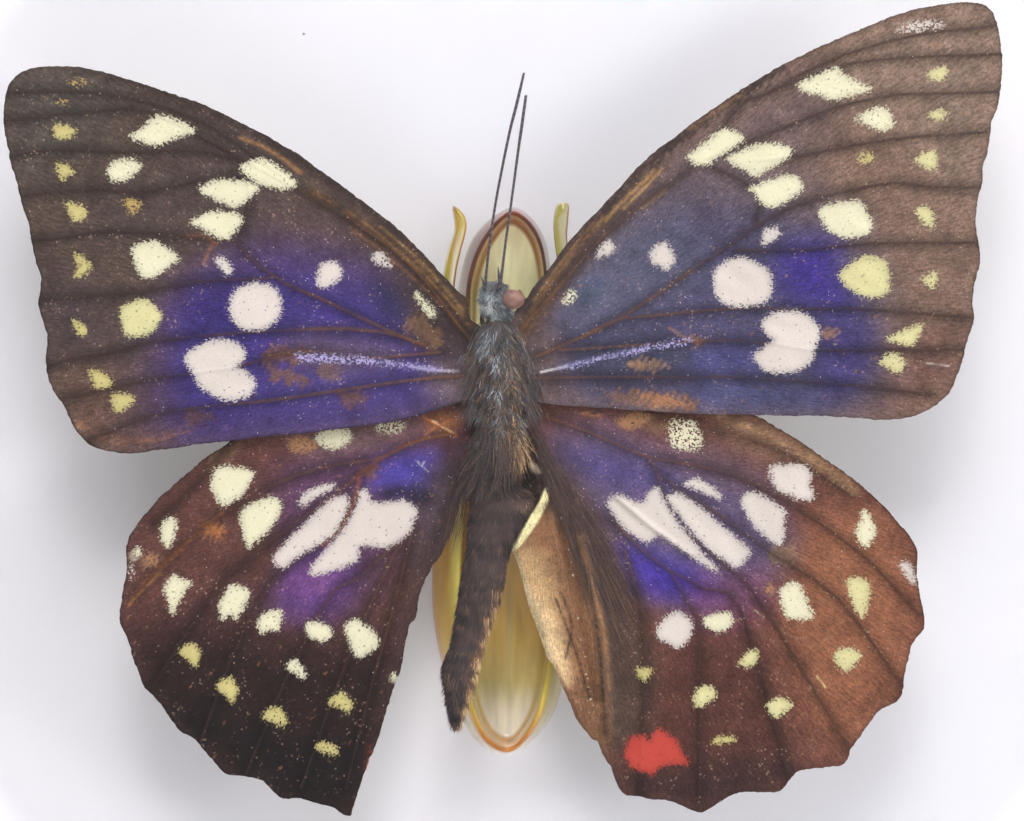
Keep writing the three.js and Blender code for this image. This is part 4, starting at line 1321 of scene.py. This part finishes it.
def fold_right(flat):
    """The right wing's inner margin is turned in: it rises in two long pleats, and its front edge rolls over."""
    rise = np.zeros(len(flat))
    for height, half_width, marks in (
        (0.9, 0.55, [(541, 498), (527, 524), (517, 544)]),
        (0.6, 0.7, [(520, 556), (535, 600), (555, 655), (580, 710)]),
        (-0.7, 0.6, [(562, 520), (572, 570), (580, 630), (592, 700)]),
        (0.5, 0.8, [(582, 540), (596, 600), (604, 660), (610, 730)]),
        (0.35, 0.3, [(617, 497), (650, 525), (690, 555)]),
    ):
        gap, _ = near_line(flat, smooth(plan(marks), steps=4))
        rise += height * np.exp(-((gap / half_width) ** 2))
    return rise


def fold_left(flat):
    """The left wing's inner margin droops a little beside the abdomen."""
    gap, _ = near_line(flat, smooth(plan([(462, 490), (432, 570), (412, 630), (385, 720)]), steps=4))
    return -0.5 * np.exp(-((gap / 1.0) ** 2))


hindwing_scales = wing_scales("hindwing_upper_scales", 0.02)
hindwing_lower = wing_underside("hindwing_lower_scales")
HINDWING_UP = 8.05
HINDWINGS = (("left", LEFT_HINDWING, 101, fold_left), ("right", RIGHT_HINDWING, 111, fold_right))
for side, design, seed, folds in HINDWINGS:
    height = cradle_bottom + HINDWING_UP
    wing = make_wing("hindwing_" + side + "_sheet", design, height, seed, hindwing_scales, hindwing_lower, folds)
    stand_for(wing, "hindwing_" + side)


def lay_locks(name, locks, height, seed, material):
    """Long hairs laid flat on a wing: (start mark, end mark, spread in mm, count, length in mm, shade)."""
    draw = np.random.default_rng(seed)
    parts = []
    for start, end, spread, count, length, shade in locks:
        first, last = plan([start])[0], plan([end])[0]
        way = (last - first) / np.linalg.norm(last - first)
        side = np.array([-way[1], way[0]])
        along = draw.random(count)
        off = draw.normal(0, spread, count)
        spots = first + (last - first) * along[:, None] + side * (off * (0.35 + 0.65 * along))[:, None]
        turned = way + side * (off / 12 + draw.normal(0, 0.05, count))[:, None]
        up = height + WING_LIFT * (spots[:, 0] / HALF_SPAN) ** 2 + 0.05 + 0.3 * draw.random(count)
        ways = np.column_stack([turned, draw.normal(0.01, 0.03, count)])
        roots = np.column_stack([spots, up])
        shades = np.clip(shade + draw.normal(0, 0.12, count), 0, 1)
        lengths = length * (0.5 + draw.random(count))
        widths = 0.05 * (0.6 + 0.8 * draw.random(count))
        parts.append((roots, ways, lengths, widths, shades))
    fur(name, [np.concatenate(column) for column in zip(*parts)], 0.02, material)


LEFT_LOCKS = [
    ((480, 430), (456, 520), 0.5, 160, 3.0, 0.3),
    ((476, 440), (448, 530), 0.4, 60, 2.4, 0.3),
]
RIGHT_LOCKS = [
    ((520, 472), (508, 538), 0.4, 160, 1.6, 0.34),
    ((530, 425), (558, 490), 0.7, 200, 2.6, 0.34),
    ((542, 455), (596, 590), 0.8, 260, 3.2, 0.36),
    ((552, 470), (614, 620), 0.8, 180, 3.2, 0.36),
    ((564, 480), (628, 600), 0.7, 90, 3.0, 0.34),
    ((586, 560), (608, 680), 0.4, 90, 3.0, 0.42),
]
lay_locks("hindwing_left_hair", LEFT_LOCKS, cradle_bottom + HINDWING_UP, 151, brown_hair)
lay_locks("hindwing_right_hair", RIGHT_LOCKS, cradle_bottom + HINDWING_UP, 152, brown_hair)

# ---- Forewings --------------------------------------------------------------------------------------------
# The upper pair, made as the lower pair are. Their front edge is a stout dark rib rubbed golden in places, and they
# lie over the fore part of the hindwings. Violet scales run from the root to past the middle, and the tips are brown.
# The violet is structural and changes with the light. It is painted into the scales' colour as it shows under one
# light, so part of it is painted sheen, bluer on the left forewing and greyer on the right.
LEFT_FOREWING = {
    "root": (470, 345),
    "brown": "#50413a",
    "outline": [
        (470, 318), (467, 300), (455, 288), (440, 272), (425, 255), (410, 240), (400, 230), (380, 214), (360, 199),
        (340, 184), (320, 170), (300, 155), (280, 143), (260, 132), (240, 122), (220, 112), (200, 103), (170, 93),
        (150, 86), (130, 80), (108, 73), (93, 70), (75, 67), (50, 67), (30, 70), (17, 77), (10, 87), (7, 98), (5, 112),
        (5, 122), (7.5, 140), (10, 150), (12.5, 165), (17, 178), (21, 195), (25, 210), (30, 223), (32.5, 240),
        (37, 262), (42, 275), (42, 287), (40, 300), (40, 307), (43, 318), (48, 335), (48, 347), (47, 360), (48, 373),
        (52, 385), (57, 395), (64, 404), (70, 417), (75, 428), (82, 437), (93, 446), (107, 451), (123, 453),
        (142, 452.5), (158, 450), (183, 447), (200, 444), (233, 441), (260, 437), (300, 434), (320, 431), (345, 428),
        (360, 426), (380, 424), (400, 420), (420, 415), (460, 402), (484, 394), (493, 370), (490, 335),
    ],
    "veins": [
        [
            (470, 340), (440, 300), (420, 275), (400, 255), (380, 240), (350, 220), (300, 190), (240, 158), (150, 112),
            (90, 112), (8, 121),
        ],
        [(425, 345), (400, 335), (362, 318), (320, 298), (285, 283), (250, 258), (235, 240)],
        [(275, 277), (250, 279), (200, 281), (150, 290), (100, 295), (42, 300)],
        [(425, 345), (385, 333), (330, 329), (270, 331), (200, 336), (150, 342), (120, 350), (80, 358), (50, 365)],
        [(440, 352), (360, 358), (300, 350), (240, 366), (200, 372), (150, 380), (100, 390), (65, 398)],
        [(460, 376), (420, 379), (360, 387), (290, 398), (200, 408), (150, 416), (90, 440)],
        [(300, 190), (200, 120), (100, 93), (8, 93)],
        [(240, 158), (190, 150), (130, 152), (60, 150), (8, 157)],
        [(240, 175), (190, 182), (140, 192), (100, 189), (60, 192), (18, 197)],
        [(235, 240), (200, 238), (170, 235), (140, 232), (100, 232), (60, 238), (35, 240)],
        [(235, 240), (250, 200), (240, 158)],
    ],
    "tones": [
        ("#4b4742", 4.0, 0.6, [(10, 80), (60, 66), (110, 75), (100, 130), (40, 170), (12, 150)]),
        ("#493c3a", 3.5, 0.7, [(90, 215), (140, 180), (240, 110), (290, 150), (260, 220), (180, 235), (110, 240)]),
        ("#46383a", 3.0, 0.8, [(40, 280), (90, 285), (110, 320), (100, 360), (50, 350)]),
        ("#64493f", 3.5, 0.8, [(60, 380), (120, 375), (150, 440), (120, 460), (80, 445)]),
        ("#523c50", 4.5, 0.9, [
            (145, 350), (170, 290), (240, 240), (300, 235), (360, 255), (430, 320), (460, 370), (420, 410), (330, 430),
            (150, 445),
        ]),
        ("#3f3172", 4.0, 0.95, [
            (170, 340), (185, 300), (240, 262), (310, 262), (390, 285), (430, 330), (440, 385), (330, 420), (190, 435),
        ]),
        ("#332663", 2.5, 0.85, [(180, 310), (200, 285), (230, 290), (260, 315), (250, 335), (190, 335)]),
        ("#3f3378", 2.0, 0.7, [(185, 345), (230, 330), (200, 400), (180, 380)]),
        ("#473a76", 3.0, 0.8, [(280, 370), (400, 365), (440, 395), (380, 415), (290, 418)]),
        ("#63505f", 2.0, 0.8, [(300, 335), (380, 343), (400, 360), (330, 372), (290, 355)]),
        ("#5a4036", 2.0, 0.9, [
            (470, 320), (440, 275), (400, 240), (360, 212), (372, 240), (410, 275), (440, 308), (466, 345),
        ]),
        ("#6c5a60", 2.0, 0.9, [(478, 350), (440, 355), (425, 385), (450, 402), (478, 395)]),
        ("#3b2e30", 2.2, 0.9, [
            (400, 268), (440, 285), (470, 318), (478, 360), (450, 368), (425, 350), (398, 322), (382, 292),
        ]),
        ("#2b2a52", 1.4, 0.7, [(372, 285), (395, 290), (405, 315), (385, 318), (366, 300)]),
        ("#86653f", 0.5, 0.5, [(404, 322), (418, 314), (432, 322), (442, 336), (438, 348), (424, 346), (412, 336)]),
        ("#6e4c44", 0.4, 0.9, [
            (262, 354), (272, 347), (290, 347), (308, 350), (314, 357), (300, 364), (282, 360), (268, 370),
        ]),
        ("#6e5044", 0.4, 0.85, [(266, 370), (284, 370), (300, 374), (308, 383), (292, 385), (274, 379)]),
        ("#71554e", 0.4, 0.8, [(318, 367), (329, 363), (340, 369), (337, 380), (322, 379)]),
        ("#74503f", 0.4, 0.75, [(338, 394), (352, 389), (364, 396), (359, 405), (345, 405)]),
        ("#5e4034", 0.4, 0.7, [(186, 412), (205, 410), (214, 417), (200, 424), (188, 421)]),
        ("#3c2f2c", 0.5, 0.85, [
            (470, 318), (440, 272), (380, 214), (300, 155), (200, 103), (108, 73), (108, 80), (200, 113), (300, 166),
            (380, 228), (440, 290), (468, 330),
        ]),
    ],
    "rubbed": [
        ("#7a5c38", 0.5, 0.5, [(465, 318), (455, 302), (440, 284), (425, 268), (412, 256)]),
        ("#7a5632", 0.3, 0.8, [
            (468, 325), (452, 306), (430, 282), (408, 260), (388, 243), (366, 226), (340, 208), (310, 190),
        ]),
        ("#90703e", 0.14, 0.65, [(462, 309), (447, 290), (430, 271), (414, 255), (398, 241), (380, 226)]),
        ("#967446", 0.1, 0.6, [(456, 310), (440, 291), (424, 274), (404, 256), (384, 238), (362, 221), (344, 208)]),
        ("#8a5f36", 0.14, 0.7, [(462, 330), (444, 308), (424, 288), (400, 266), (376, 246), (350, 228)]),
        ("#1c1416", 0.12, 0.5, [(459, 316), (442, 297), (420, 276), (398, 257), (374, 238), (350, 222)]),
        ("#a97a4c", 0.2, 0.7, [(300, 172), (282, 158), (262, 146), (240, 137)]),
        ("#9a5f3c", 0.2, 0.75, [(188, 236), (203, 236), (216, 243)]),
        ("#8f6040", 0.2, 0.7, [(204, 262), (208, 252), (213, 243)]),
        ("#6f4834", 0.14, 0.65, [(425, 347), (400, 336), (362, 319), (320, 299), (285, 284)]),
        ("#7f5a3c", 0.13, 0.6, [(436, 350), (410, 339), (384, 332), (350, 328), (310, 328)]),
        ("#7c583c", 0.13, 0.65, [(462, 376), (420, 379), (360, 388), (320, 393), (280, 399), (240, 404)]),
        ("#d8cfe0", 0.1, 0.9, [(458, 371), (430, 370), (410, 366)]),
        ("#8f83c0", 0.22, 0.5, [(435, 370), (400, 364), (370, 360), (340, 357), (300, 358)]),
        ("#8d6148", 0.4, 0.6, [(80, 425), (110, 440), (150, 440), (190, 428)]),
    ],
    "spots": [
        ("ochre", 0.35, [(66, 83), (77, 79), (88, 83), (77, 87)]),
        ("ochre", 0.35, [(58, 103), (64, 100), (70, 103), (64, 106)]),
        ("straw", 0.9, [(55, 127), (64, 125), (78, 131), (72, 137), (62, 140), (56, 137)]),
        ("straw", 0.9, [(57, 165), (66, 165), (75, 172), (68, 176), (62, 180)]),
        ("straw", 0.95, [(66, 203), (75, 204), (85, 208), (88, 213), (84, 219), (74, 222), (70, 213)]),
        ("straw", 0.9, [(75, 254), (84, 257), (92, 267), (90, 271), (82, 276), (75, 278), (78, 268)]),
        ("straw", 0.85, [(73, 320), (80, 322), (88, 328), (86, 334), (80, 335)]),
        ("straw", 0.95, [(90, 370), (100, 371), (108, 376), (112, 384), (103, 388), (96, 387)]),
        ("straw", 0.95, [(112, 397), (120, 393), (132, 396), (135, 400), (128, 407), (118, 412), (113, 407)]),
        ("cream", 0.95, [
            (130, 137), (138, 131), (157, 116), (175, 119), (194, 130), (185, 135), (172, 139), (158, 146), (148, 144),
        ]),
        ("cream", 0.9, [
            (108, 172), (112, 163), (122, 159), (135, 160), (141, 164), (136, 173), (126, 180), (113, 181),
        ]),
        ("ochre", 0.8, [(125, 200), (138, 201), (140, 206), (132, 215)]),
        ("cream", 0.97, [
            (132, 250), (142, 243), (155, 241), (165, 246), (178, 257), (172, 264), (160, 273), (150, 278), (140, 274),
        ]),
        ("yellow", 0.95, [
            (120, 314), (124, 306), (142, 299), (153, 303), (162, 315), (158, 325), (150, 333), (140, 336), (126, 334),
        ]),
        ("cream", 1.0, [
            (240, 168), (250, 161), (262, 158), (275, 164), (295, 181), (292, 187), (280, 189), (268, 186), (256, 182),
        ]),
        ("cream", 1.0, [
            (199, 188), (207, 183), (222, 179), (250, 182), (258, 187), (250, 197), (236, 207), (224, 204), (203, 193),
        ]),
        ("cream", 1.0, [
            (190, 222), (198, 217), (208, 212), (222, 211), (236, 214), (243, 220), (230, 236), (222, 239), (210, 233),
        ]),
        ("white", 0.9, [(214, 260), (222, 257), (228, 262), (232, 272), (226, 274), (220, 268)]),
        ("white", 1.0, [
            (232, 295), (240, 287), (252, 283), (265, 284), (277, 290), (281, 302), (279, 315), (272, 324), (262, 329),
            (248, 330), (238, 326), (231, 317), (229, 306),
        ]),
        ("white", 1.0, [
            (185, 355), (195, 347), (208, 341), (222, 339), (235, 342), (244, 350), (243, 360), (236, 367), (245, 370),
            (254, 380), (254, 388), (248, 396), (236, 400), (222, 399), (208, 393), (198, 385), (193, 375), (187, 365),
        ]),
        ("white", 0.95, [
            (318, 268), (324, 262), (334, 261), (340, 266), (341, 276), (335, 283), (324, 287), (316, 284),
        ]),
        ("white", 0.8, [(372, 258), (375, 251), (380, 251), (387, 258), (391, 266), (378, 264)]),
        ("cream", 0.8, [(414, 294), (419, 293), (428, 303), (436, 312), (432, 317), (422, 308)]),
        ("lilac", 0.42, [
            (440, 368), (410, 364), (370, 358), (300, 353), (301, 361), (365, 364), (410, 368), (440, 371),
        ]),
    ],
}
RIGHT_FOREWING = {
    "root": (520, 345),
    "brown": "#7a6154",
    "outline": [
        (520, 303), (527, 297), (533, 287), (543, 275), (552, 265), (560, 253), (568, 242), (580, 229), (590, 218),
        (600, 208), (610, 197), (623, 183), (638, 167), (650, 155), (660, 147), (677, 135), (696, 120), (740, 90),
        (750, 84), (768, 73), (783, 64), (801, 56), (814, 49), (830, 42), (851, 33), (870, 25), (891, 17), (913, 10),
        (930, 6.6), (951, 3.8), (967, 2.9), (979, 4.3), (989, 10), (994, 19), (998, 33), (999.6, 48), (1001, 61),
        (1000, 78), (999, 93), (996, 109), (991, 121), (989, 135), (986, 154), (982, 166), (981, 183), (977, 199),
        (974.5, 224), (977, 241), (979, 261), (976, 274), (973, 286), (971.6, 302), (973, 318), (970, 330), (965, 345),
        (961.5, 361), (956, 376), (949, 392), (939, 402), (927, 410), (913, 416), (896, 419.5), (878, 420), (861, 418),
        (844, 417), (826, 416), (799, 416), (757, 415), (700, 414), (650, 411), (620, 409), (560, 405), (526, 398),
        (507, 380), (506, 335),
    ],
    "veins": [
        [
            (520, 330), (560, 285), (600, 240), (640, 205), (700, 160), (740, 104), (768, 93), (830, 60), (913, 36),
            (991, 27),
        ],
        [
            (535, 357), (567, 343), (600, 329), (630, 312), (668, 287), (692, 270), (727, 247), (757, 226), (797, 205),
            (850, 190), (896, 183), (930, 187), (979, 188),
        ],
        [(735, 250), (800, 250), (852, 245), (896, 243), (975, 243)],
        [(580, 338), (615, 320), (660, 315), (727, 309), (799, 309), (861, 309), (901, 312), (973, 318)],
        [(560, 350), (640, 345), (720, 340), (775, 344), (816, 350), (868, 350), (965, 350)],
        [(530, 378), (593, 377), (685, 377), (735, 377), (809, 382), (870, 387), (930, 395)],
        [(700, 160), (775, 131), (837, 107), (896, 95), (939, 94), (996, 92.6)],
        [(768, 93), (830, 68), (900, 58), (998, 55)],
        [(757, 160), (800, 155), (844, 147), (903, 138), (985, 133)],
        [(700, 160), (757, 190), (757, 226)],
    ],
    "tones": [
        ("#8a7466", 4.0, 0.7, [
            (850, 40), (920, 10), (990, 5), (1000, 80), (985, 180), (940, 180), (880, 110), (820, 90),
        ]),
        ("#645356", 4.0, 0.7, [(650, 165), (740, 100), (820, 75), (830, 130), (780, 200), (700, 220), (640, 230)]),
        ("#6a4c44", 3.0, 0.8, [(880, 330), (960, 330), (955, 390), (900, 415), (860, 400)]),
        ("#534b5c", 4.5, 0.9, [
            (525, 320), (600, 230), (680, 180), (760, 190), (840, 215), (880, 290), (880, 350), (860, 415), (700, 412),
            (540, 400),
        ]),
        ("#484361", 4.0, 0.9, [
            (560, 330), (620, 260), (700, 220), (790, 235), (850, 270), (860, 340), (840, 400), (700, 405), (570, 390),
        ]),
        ("#58586c", 3.0, 0.7, [(560, 310), (610, 240), (680, 220), (700, 270), (640, 310), (580, 330)]),
        ("#3a2a7a", 2.5, 0.9, [(780, 250), (830, 240), (840, 270), (850, 310), (810, 305), (785, 290)]),
        ("#3c3468", 2.0, 0.8, [(820, 320), (870, 320), (870, 375), (830, 400), (815, 370)]),
        ("#46467a", 2.0, 0.7, [(700, 350), (750, 345), (760, 372), (700, 374)]),
        ("#474a74", 2.0, 0.7, [(700, 385), (800, 388), (820, 408), (700, 408)]),
        ("#3a3a4e", 2.0, 0.8, [(580, 345), (660, 335), (690, 350), (660, 385), (590, 390)]),
        ("#5e4d50", 2.0, 0.92, [(512, 312), (538, 318), (562, 345), (566, 380), (580, 402), (530, 400), (512, 380)]),
        ("#56423a", 1.2, 0.85, [
            (516, 318), (540, 285), (575, 240), (620, 192), (660, 155), (668, 168), (636, 204), (598, 246), (560, 298),
            (530, 340),
        ]),
        ("#45556e", 0.5, 0.45, [(574, 282), (590, 276), (604, 284), (600, 300), (584, 306), (574, 296)]),
        ("#94735a", 0.4, 0.85, [(628, 366), (634, 361), (650, 360), (664, 363), (660, 369), (642, 370)]),
        ("#7a5a4a", 0.4, 0.8, [
            (606, 396), (620, 391), (644, 392), (668, 393), (696, 400), (692, 409), (656, 409), (622, 404),
        ]),
        ("#a27252", 0.35, 0.8, [(640, 394), (662, 394), (690, 402), (684, 408), (652, 405)]),
        ("#9a6a4c", 0.35, 0.8, [(690, 336), (698, 338), (700, 345), (692, 344)]),
        ("#9a7356", 0.35, 0.75, [(822, 331), (832, 329), (838, 334), (830, 338)]),
        ("#3c302e", 0.5, 0.85, [
            (520, 303), (560, 253), (610, 197), (660, 147), (740, 90), (783, 64), (785, 72), (742, 98), (664, 156),
            (616, 206), (566, 263), (528, 310),
        ]),
    ],
    "rubbed": [
        ("#a5804f", 0.2, 0.8, [(654, 170), (645, 180), (630, 194), (616, 208), (606, 220)]),
        ("#b08a58", 0.14, 0.8, [(662, 168), (650, 182), (636, 196), (624, 208)]),
        ("#9d7a50", 0.16, 0.8, [(644, 207), (656, 198), (667, 188)]),
        ("#7d5a38", 0.25, 0.75, [(606, 216), (584, 240), (562, 268), (542, 296), (526, 322), (514, 350)]),
        ("#8e6a44", 0.14, 0.7, [(594, 222), (572, 248), (552, 274), (534, 300)]),
        ("#86623e", 0.2, 0.7, [(520, 345), (532, 325), (548, 302), (564, 280)]),
        ("#a07c5c", 0.25, 0.5, [(690, 128), (720, 108), (745, 92)]),
        ("#6f5240", 0.18, 0.65, [(535, 357), (567, 343), (600, 329), (630, 312), (668, 287), (692, 270)]),
        ("#94705c", 0.14, 0.7, [(670, 328), (683, 336), (692, 340)]),
        ("#f0eae8", 0.1, 1.0, [(541, 372), (567, 366)]),
        ("#8a8ab4", 0.22, 0.5, [(560, 367), (627, 352), (652, 347.5), (687, 341)]),
        ("#e6dcd4", 0.08, 0.7, [(926, 363), (948, 366)]),
    ],
    "spots": [
        ("white", 0.5, [(897, 31), (906, 24), (922, 21), (937, 22), (944, 26), (934, 29), (906, 32)]),
        ("tan", 0.5, [(928, 44), (935, 41), (942, 44), (935, 47)]),
        ("yellow", 0.9, [(929, 78), (930, 71), (939, 67.5), (946, 68), (946, 76), (939, 81)]),
        ("yellow", 0.9, [(929.5, 116), (934, 110), (942.5, 109), (946, 114), (942.5, 119), (936, 121)]),
        ("yellow", 0.95, [(915, 159), (922, 154), (932, 151), (936, 156), (936, 166), (932, 170), (923, 166)]),
        ("yellow", 0.95, [(915, 211), (923.5, 206), (932, 212), (933, 228), (925, 224)]),
        ("yellow", 0.85, [(923.5, 280), (929, 274), (936, 273), (936, 281), (932, 289)]),
        ("yellow", 0.95, [(887, 338), (896, 334), (918, 324), (922, 328), (918, 337), (910, 345), (892, 341)]),
        ("yellow", 0.9, [(880, 361), (887, 354), (896, 354), (904, 361), (904, 368), (897, 373), (884, 366)]),
        ("cream", 0.9, [
            (798, 85), (809, 78), (823, 72), (837, 67.5), (844, 74), (871, 88), (861, 93), (833.5, 99.5), (821, 95),
            (809, 93),
        ]),
        ("cream", 0.9, [
            (855, 119), (865, 112.5), (877, 107), (887, 109), (893, 120), (893, 125), (887, 130), (877, 130),
            (861, 122),
        ]),
        ("straw", 0.75, [(859, 156), (868, 152), (875, 156), (871.5, 161), (861, 163)]),
        ("cream", 0.97, [
            (819, 210), (832, 204), (851, 201), (861, 202.5), (868, 214), (872, 222.5), (871, 231), (863, 236),
            (851, 238), (837, 235), (826.5, 228),
        ]),
        ("yellow", 0.95, [
            (839.5, 274), (846, 268), (854, 261), (866, 256), (878.5, 257), (887, 264), (890, 285), (887, 293.5),
            (877, 297), (865, 297), (846, 285),
        ]),
        ("white", 0.9, [(762.5, 237), (766, 229), (775, 227), (781, 232), (776, 238), (765, 245)]),
        ("cream", 1.0, [
            (687.5, 156), (698, 147), (722, 129), (733, 130), (743, 136), (740, 143), (718, 157.5), (708, 164),
            (697, 164),
        ]),
        ("cream", 1.0, [
            (727.5, 159), (740, 150.6), (764, 143), (785, 145), (793, 152), (778, 164), (756, 176), (747, 171),
        ]),
        ("cream", 1.0, [
            (749.5, 188), (759, 183.5), (783, 175), (797, 176.5), (802, 183.5), (800, 192), (780, 205), (766, 206),
            (754, 193),
        ]),
        ("white", 1.0, [
            (714, 273), (720, 265), (730, 259), (743, 257), (757, 262), (770, 272), (773, 285), (771, 295), (764, 303),
            (750, 305.6), (735, 306), (722, 302), (715, 290),
        ]),
        ("white", 1.0, [
            (762, 325), (766, 318), (775, 312.5), (790, 311), (804, 313), (813, 319), (820, 328), (820.5, 337),
            (816, 347), (814, 357.5), (809, 364), (797, 371), (785, 373), (766, 370.5), (754, 357.5), (759, 351),
            (768, 344), (774, 339), (766, 333),
        ]),
        ("white", 0.9, [(597, 257.5), (600, 248), (609, 239), (616, 248), (610, 253)]),
        ("white", 0.95, [
            (651, 260), (652, 250), (662, 242), (668, 244), (675, 258), (672.5, 265), (667, 269), (655, 263),
        ]),
        ("cream", 0.65, [(563, 302), (570, 290), (577, 293), (572, 303)]),
        ("lilac", 0.42, [
            (566, 366), (610, 354), (650, 345), (688, 338), (689, 344), (652, 350), (611, 358), (566, 369),
        ]),
    ],
}
forewing_scales = wing_scales("forewing_upper_scales", 0.02)
forewing_lower = wing_underside("forewing_lower_scales")
FOREWING_UP = 8.95
for side, design, seed in (("left", LEFT_FOREWING, 131), ("right", RIGHT_FOREWING, 141)):
    height = cradle_bottom + FOREWING_UP
    wing = make_wing("forewing_" + side + "_sheet", design, height, seed, forewing_scales, forewing_lower)
    stand_for(wing, "forewing_" + side)

SHOULDER_LOCKS = [
    ((486, 322), (470, 362), 0.5, 130, 1.1, 0.5), ((484, 350), (466, 392), 0.5, 150, 1.1, 0.4),
    ((484, 380), (468, 414), 0.5, 130, 1.1, 0.4), ((516, 326), (527, 366), 0.4, 120, 1.0, 0.52),
    ((520, 350), (534, 394), 0.5, 150, 1.1, 0.4), ((522, 382), (535, 418), 0.5, 130, 1.1, 0.42),
]
lay_locks("shoulder_slate_hair", SHOULDER_LOCKS, cradle_bottom + FOREWING_UP, 161, slate_hair)
lay_locks("shoulder_brown_hair", SHOULDER_LOCKS, cradle_bottom + FOREWING_UP, 162, brown_hair)

# ---- Dome -------------------------------------------------------------------------------------------------
# One piece of clear blown glass, 2 mm thick. Its upright wall stands in the base's groove and rounds over to
# a low cap. The rim is melted round, and it lifts off for the specimen.
CAP_STEPS = 40
DOME_STEPS = 144
GLASS_SHOULDER = 30


def cap(radius, top):
    """A quarter of an ellipse, from the wall's top to the axis."""
    turns = [i / CAP_STEPS * math.pi / 2 for i in range(CAP_STEPS + 1)]
    rise = top - GLASS_SHOULDER
    return [(radius * math.cos(a), GLASS_SHOULDER + rise * math.sin(a)) for a in turns[:-1]] + [(0, top)]


glass_top = dome_high.z / MM
inner, outer = glass_radius - glass_wall, glass_radius
foot_curve = [(0, 1), (0, 0.6), (0.3, 0.15), (0.7, 0)]
foot_ring = [(inner + inset, glass_foot + up) for inset, up in foot_curve]
foot_ring += [(outer - inset, glass_foot + up) for inset, up in foot_curve[::-1]]
wall = cap(inner, glass_top - glass_wall)[::-1] + foot_ring + cap(outer, glass_top)
dome = turn("blown_glass_dome", wall, DOME_STEPS)
dome.data.shade_smooth()

# Soda-lime glass, IOR 1.52, with a breath of green in its thickness and slow waves from blowing.
soda_glass, tree = new_material("clear_soda_glass")
place = put(tree, "TexCoord").outputs["Object"]
waves = put(tree, "TexNoise", {"Vector": place, "Scale": 14, "Detail": 1})
relief = put(tree, "Bump", {"Height": waves, "Strength": 0.05, "Distance": 0.001})
clear = put(
    tree,
    "BsdfPrincipled",
    {"Base Color": linear("#ffffff"), "Roughness": 0.0, "IOR": 1.52, "Transmission Weight": 1.0, "Normal": relief},
)
soak = put(tree, "VolumeAbsorption", {"Color": linear("#cfe6dc"), "Density": 4})
put(tree, "OutputMaterial", {"Surface": clear, "Volume": soak})
dress(dome, soda_glass, "dome")
dome.visible_shadow = False

# ---- Studio -----------------------------------------------------------------------------------------------
# A pale floor, soft lamps beyond the head, beyond the tail and on the right, and a pale room. The lamps stand
# low, so that none is mirrored in the glass over the specimen. The camera looks straight down on it.
FLOOR_SIDE = 6
bpy.ops.object.select_all(action="DESELECT")
bpy.ops.mesh.primitive_plane_add(size=FLOOR_SIDE, location=(0, 0, 0))
floor = bpy.context.object
floor.name = "studio_floor"
# Backdrop paper is matt and even.
paper, tree = new_material("pale_backdrop_paper")
finish = put(tree, "BsdfPrincipled", {"Base Color": linear("#d8d8d8"), "Roughness": 0.9})
put(tree, "OutputMaterial", {"Surface": finish})
floor.data.materials.append(paper)

WING_LEVEL = 0.0267
CAMERA_DISTANCE = 0.42
FRAME_WIDTH = 0.1034
SENSOR = 36
view = bpy.data.cameras.new("overhead_camera")
view.sensor_width = SENSOR
view.lens = SENSOR * CAMERA_DISTANCE / FRAME_WIDTH
view.clip_start = 0.01
camera = bpy.data.objects.new("overhead_camera", view)
camera.location = (0, 0, WING_LEVEL + CAMERA_DISTANCE)
bpy.context.scene.collection.objects.link(camera)
bpy.context.scene.camera = camera

LAMP_REACH = 0.9
LAMPS = (("key_lamp", 90, 41, 0.34, 3.8), ("fill_lamp", 270, 41, 0.34, 1.5), ("side_lamp", 0, 34, 0.2, 1.9))
for name, heading, height, size, watts in LAMPS:
    turned, raised = math.radians(heading), math.radians(height)
    lamp_data = bpy.data.lights.new(name, "AREA")
    lamp_data.size = size
    lamp_data.energy = watts
    lamp = bpy.data.objects.new(name, lamp_data)
    way = Vector((math.cos(turned) * math.cos(raised), math.sin(turned) * math.cos(raised), math.sin(raised)))
    lamp.location = way * LAMP_REACH
    lamp.rotation_euler = way.to_track_quat("Z", "Y").to_euler()
    bpy.context.scene.collection.objects.link(lamp)

# The room's light comes from all round, from low down to halfway up. Overhead it is dim, so that the glass
# stays clear.
world = bpy.data.worlds.new("pale_room")
world.use_nodes = True
tree = world.node_tree
tree.nodes.clear()
way = put(tree, "SeparateXYZ", {"Vector": put(tree, "TexCoord").outputs["Generated"]}).outputs["Z"]
low = put(tree, "MapRange", {"Value": way, "From Min": 0.04, "From Max": 0.24, "To Min": 0.25, "To Max": 1.0})
high = put(tree, "MapRange", {"Value": way, "From Min": 0.24, "From Max": 0.44, "To Min": 2.9, "To Max": 0.12})
glow = put(tree, "Math", {0: low, 1: high}, operation="MULTIPLY")
room = put(tree, "Background", {"Color": (0.94, 0.96, 1.0, 1), "Strength": glow})
put(tree, "OutputWorld", {"Surface": room})
bpy.context.scene.world = world
bpy.context.scene.view_settings.view_transform = "Standard"
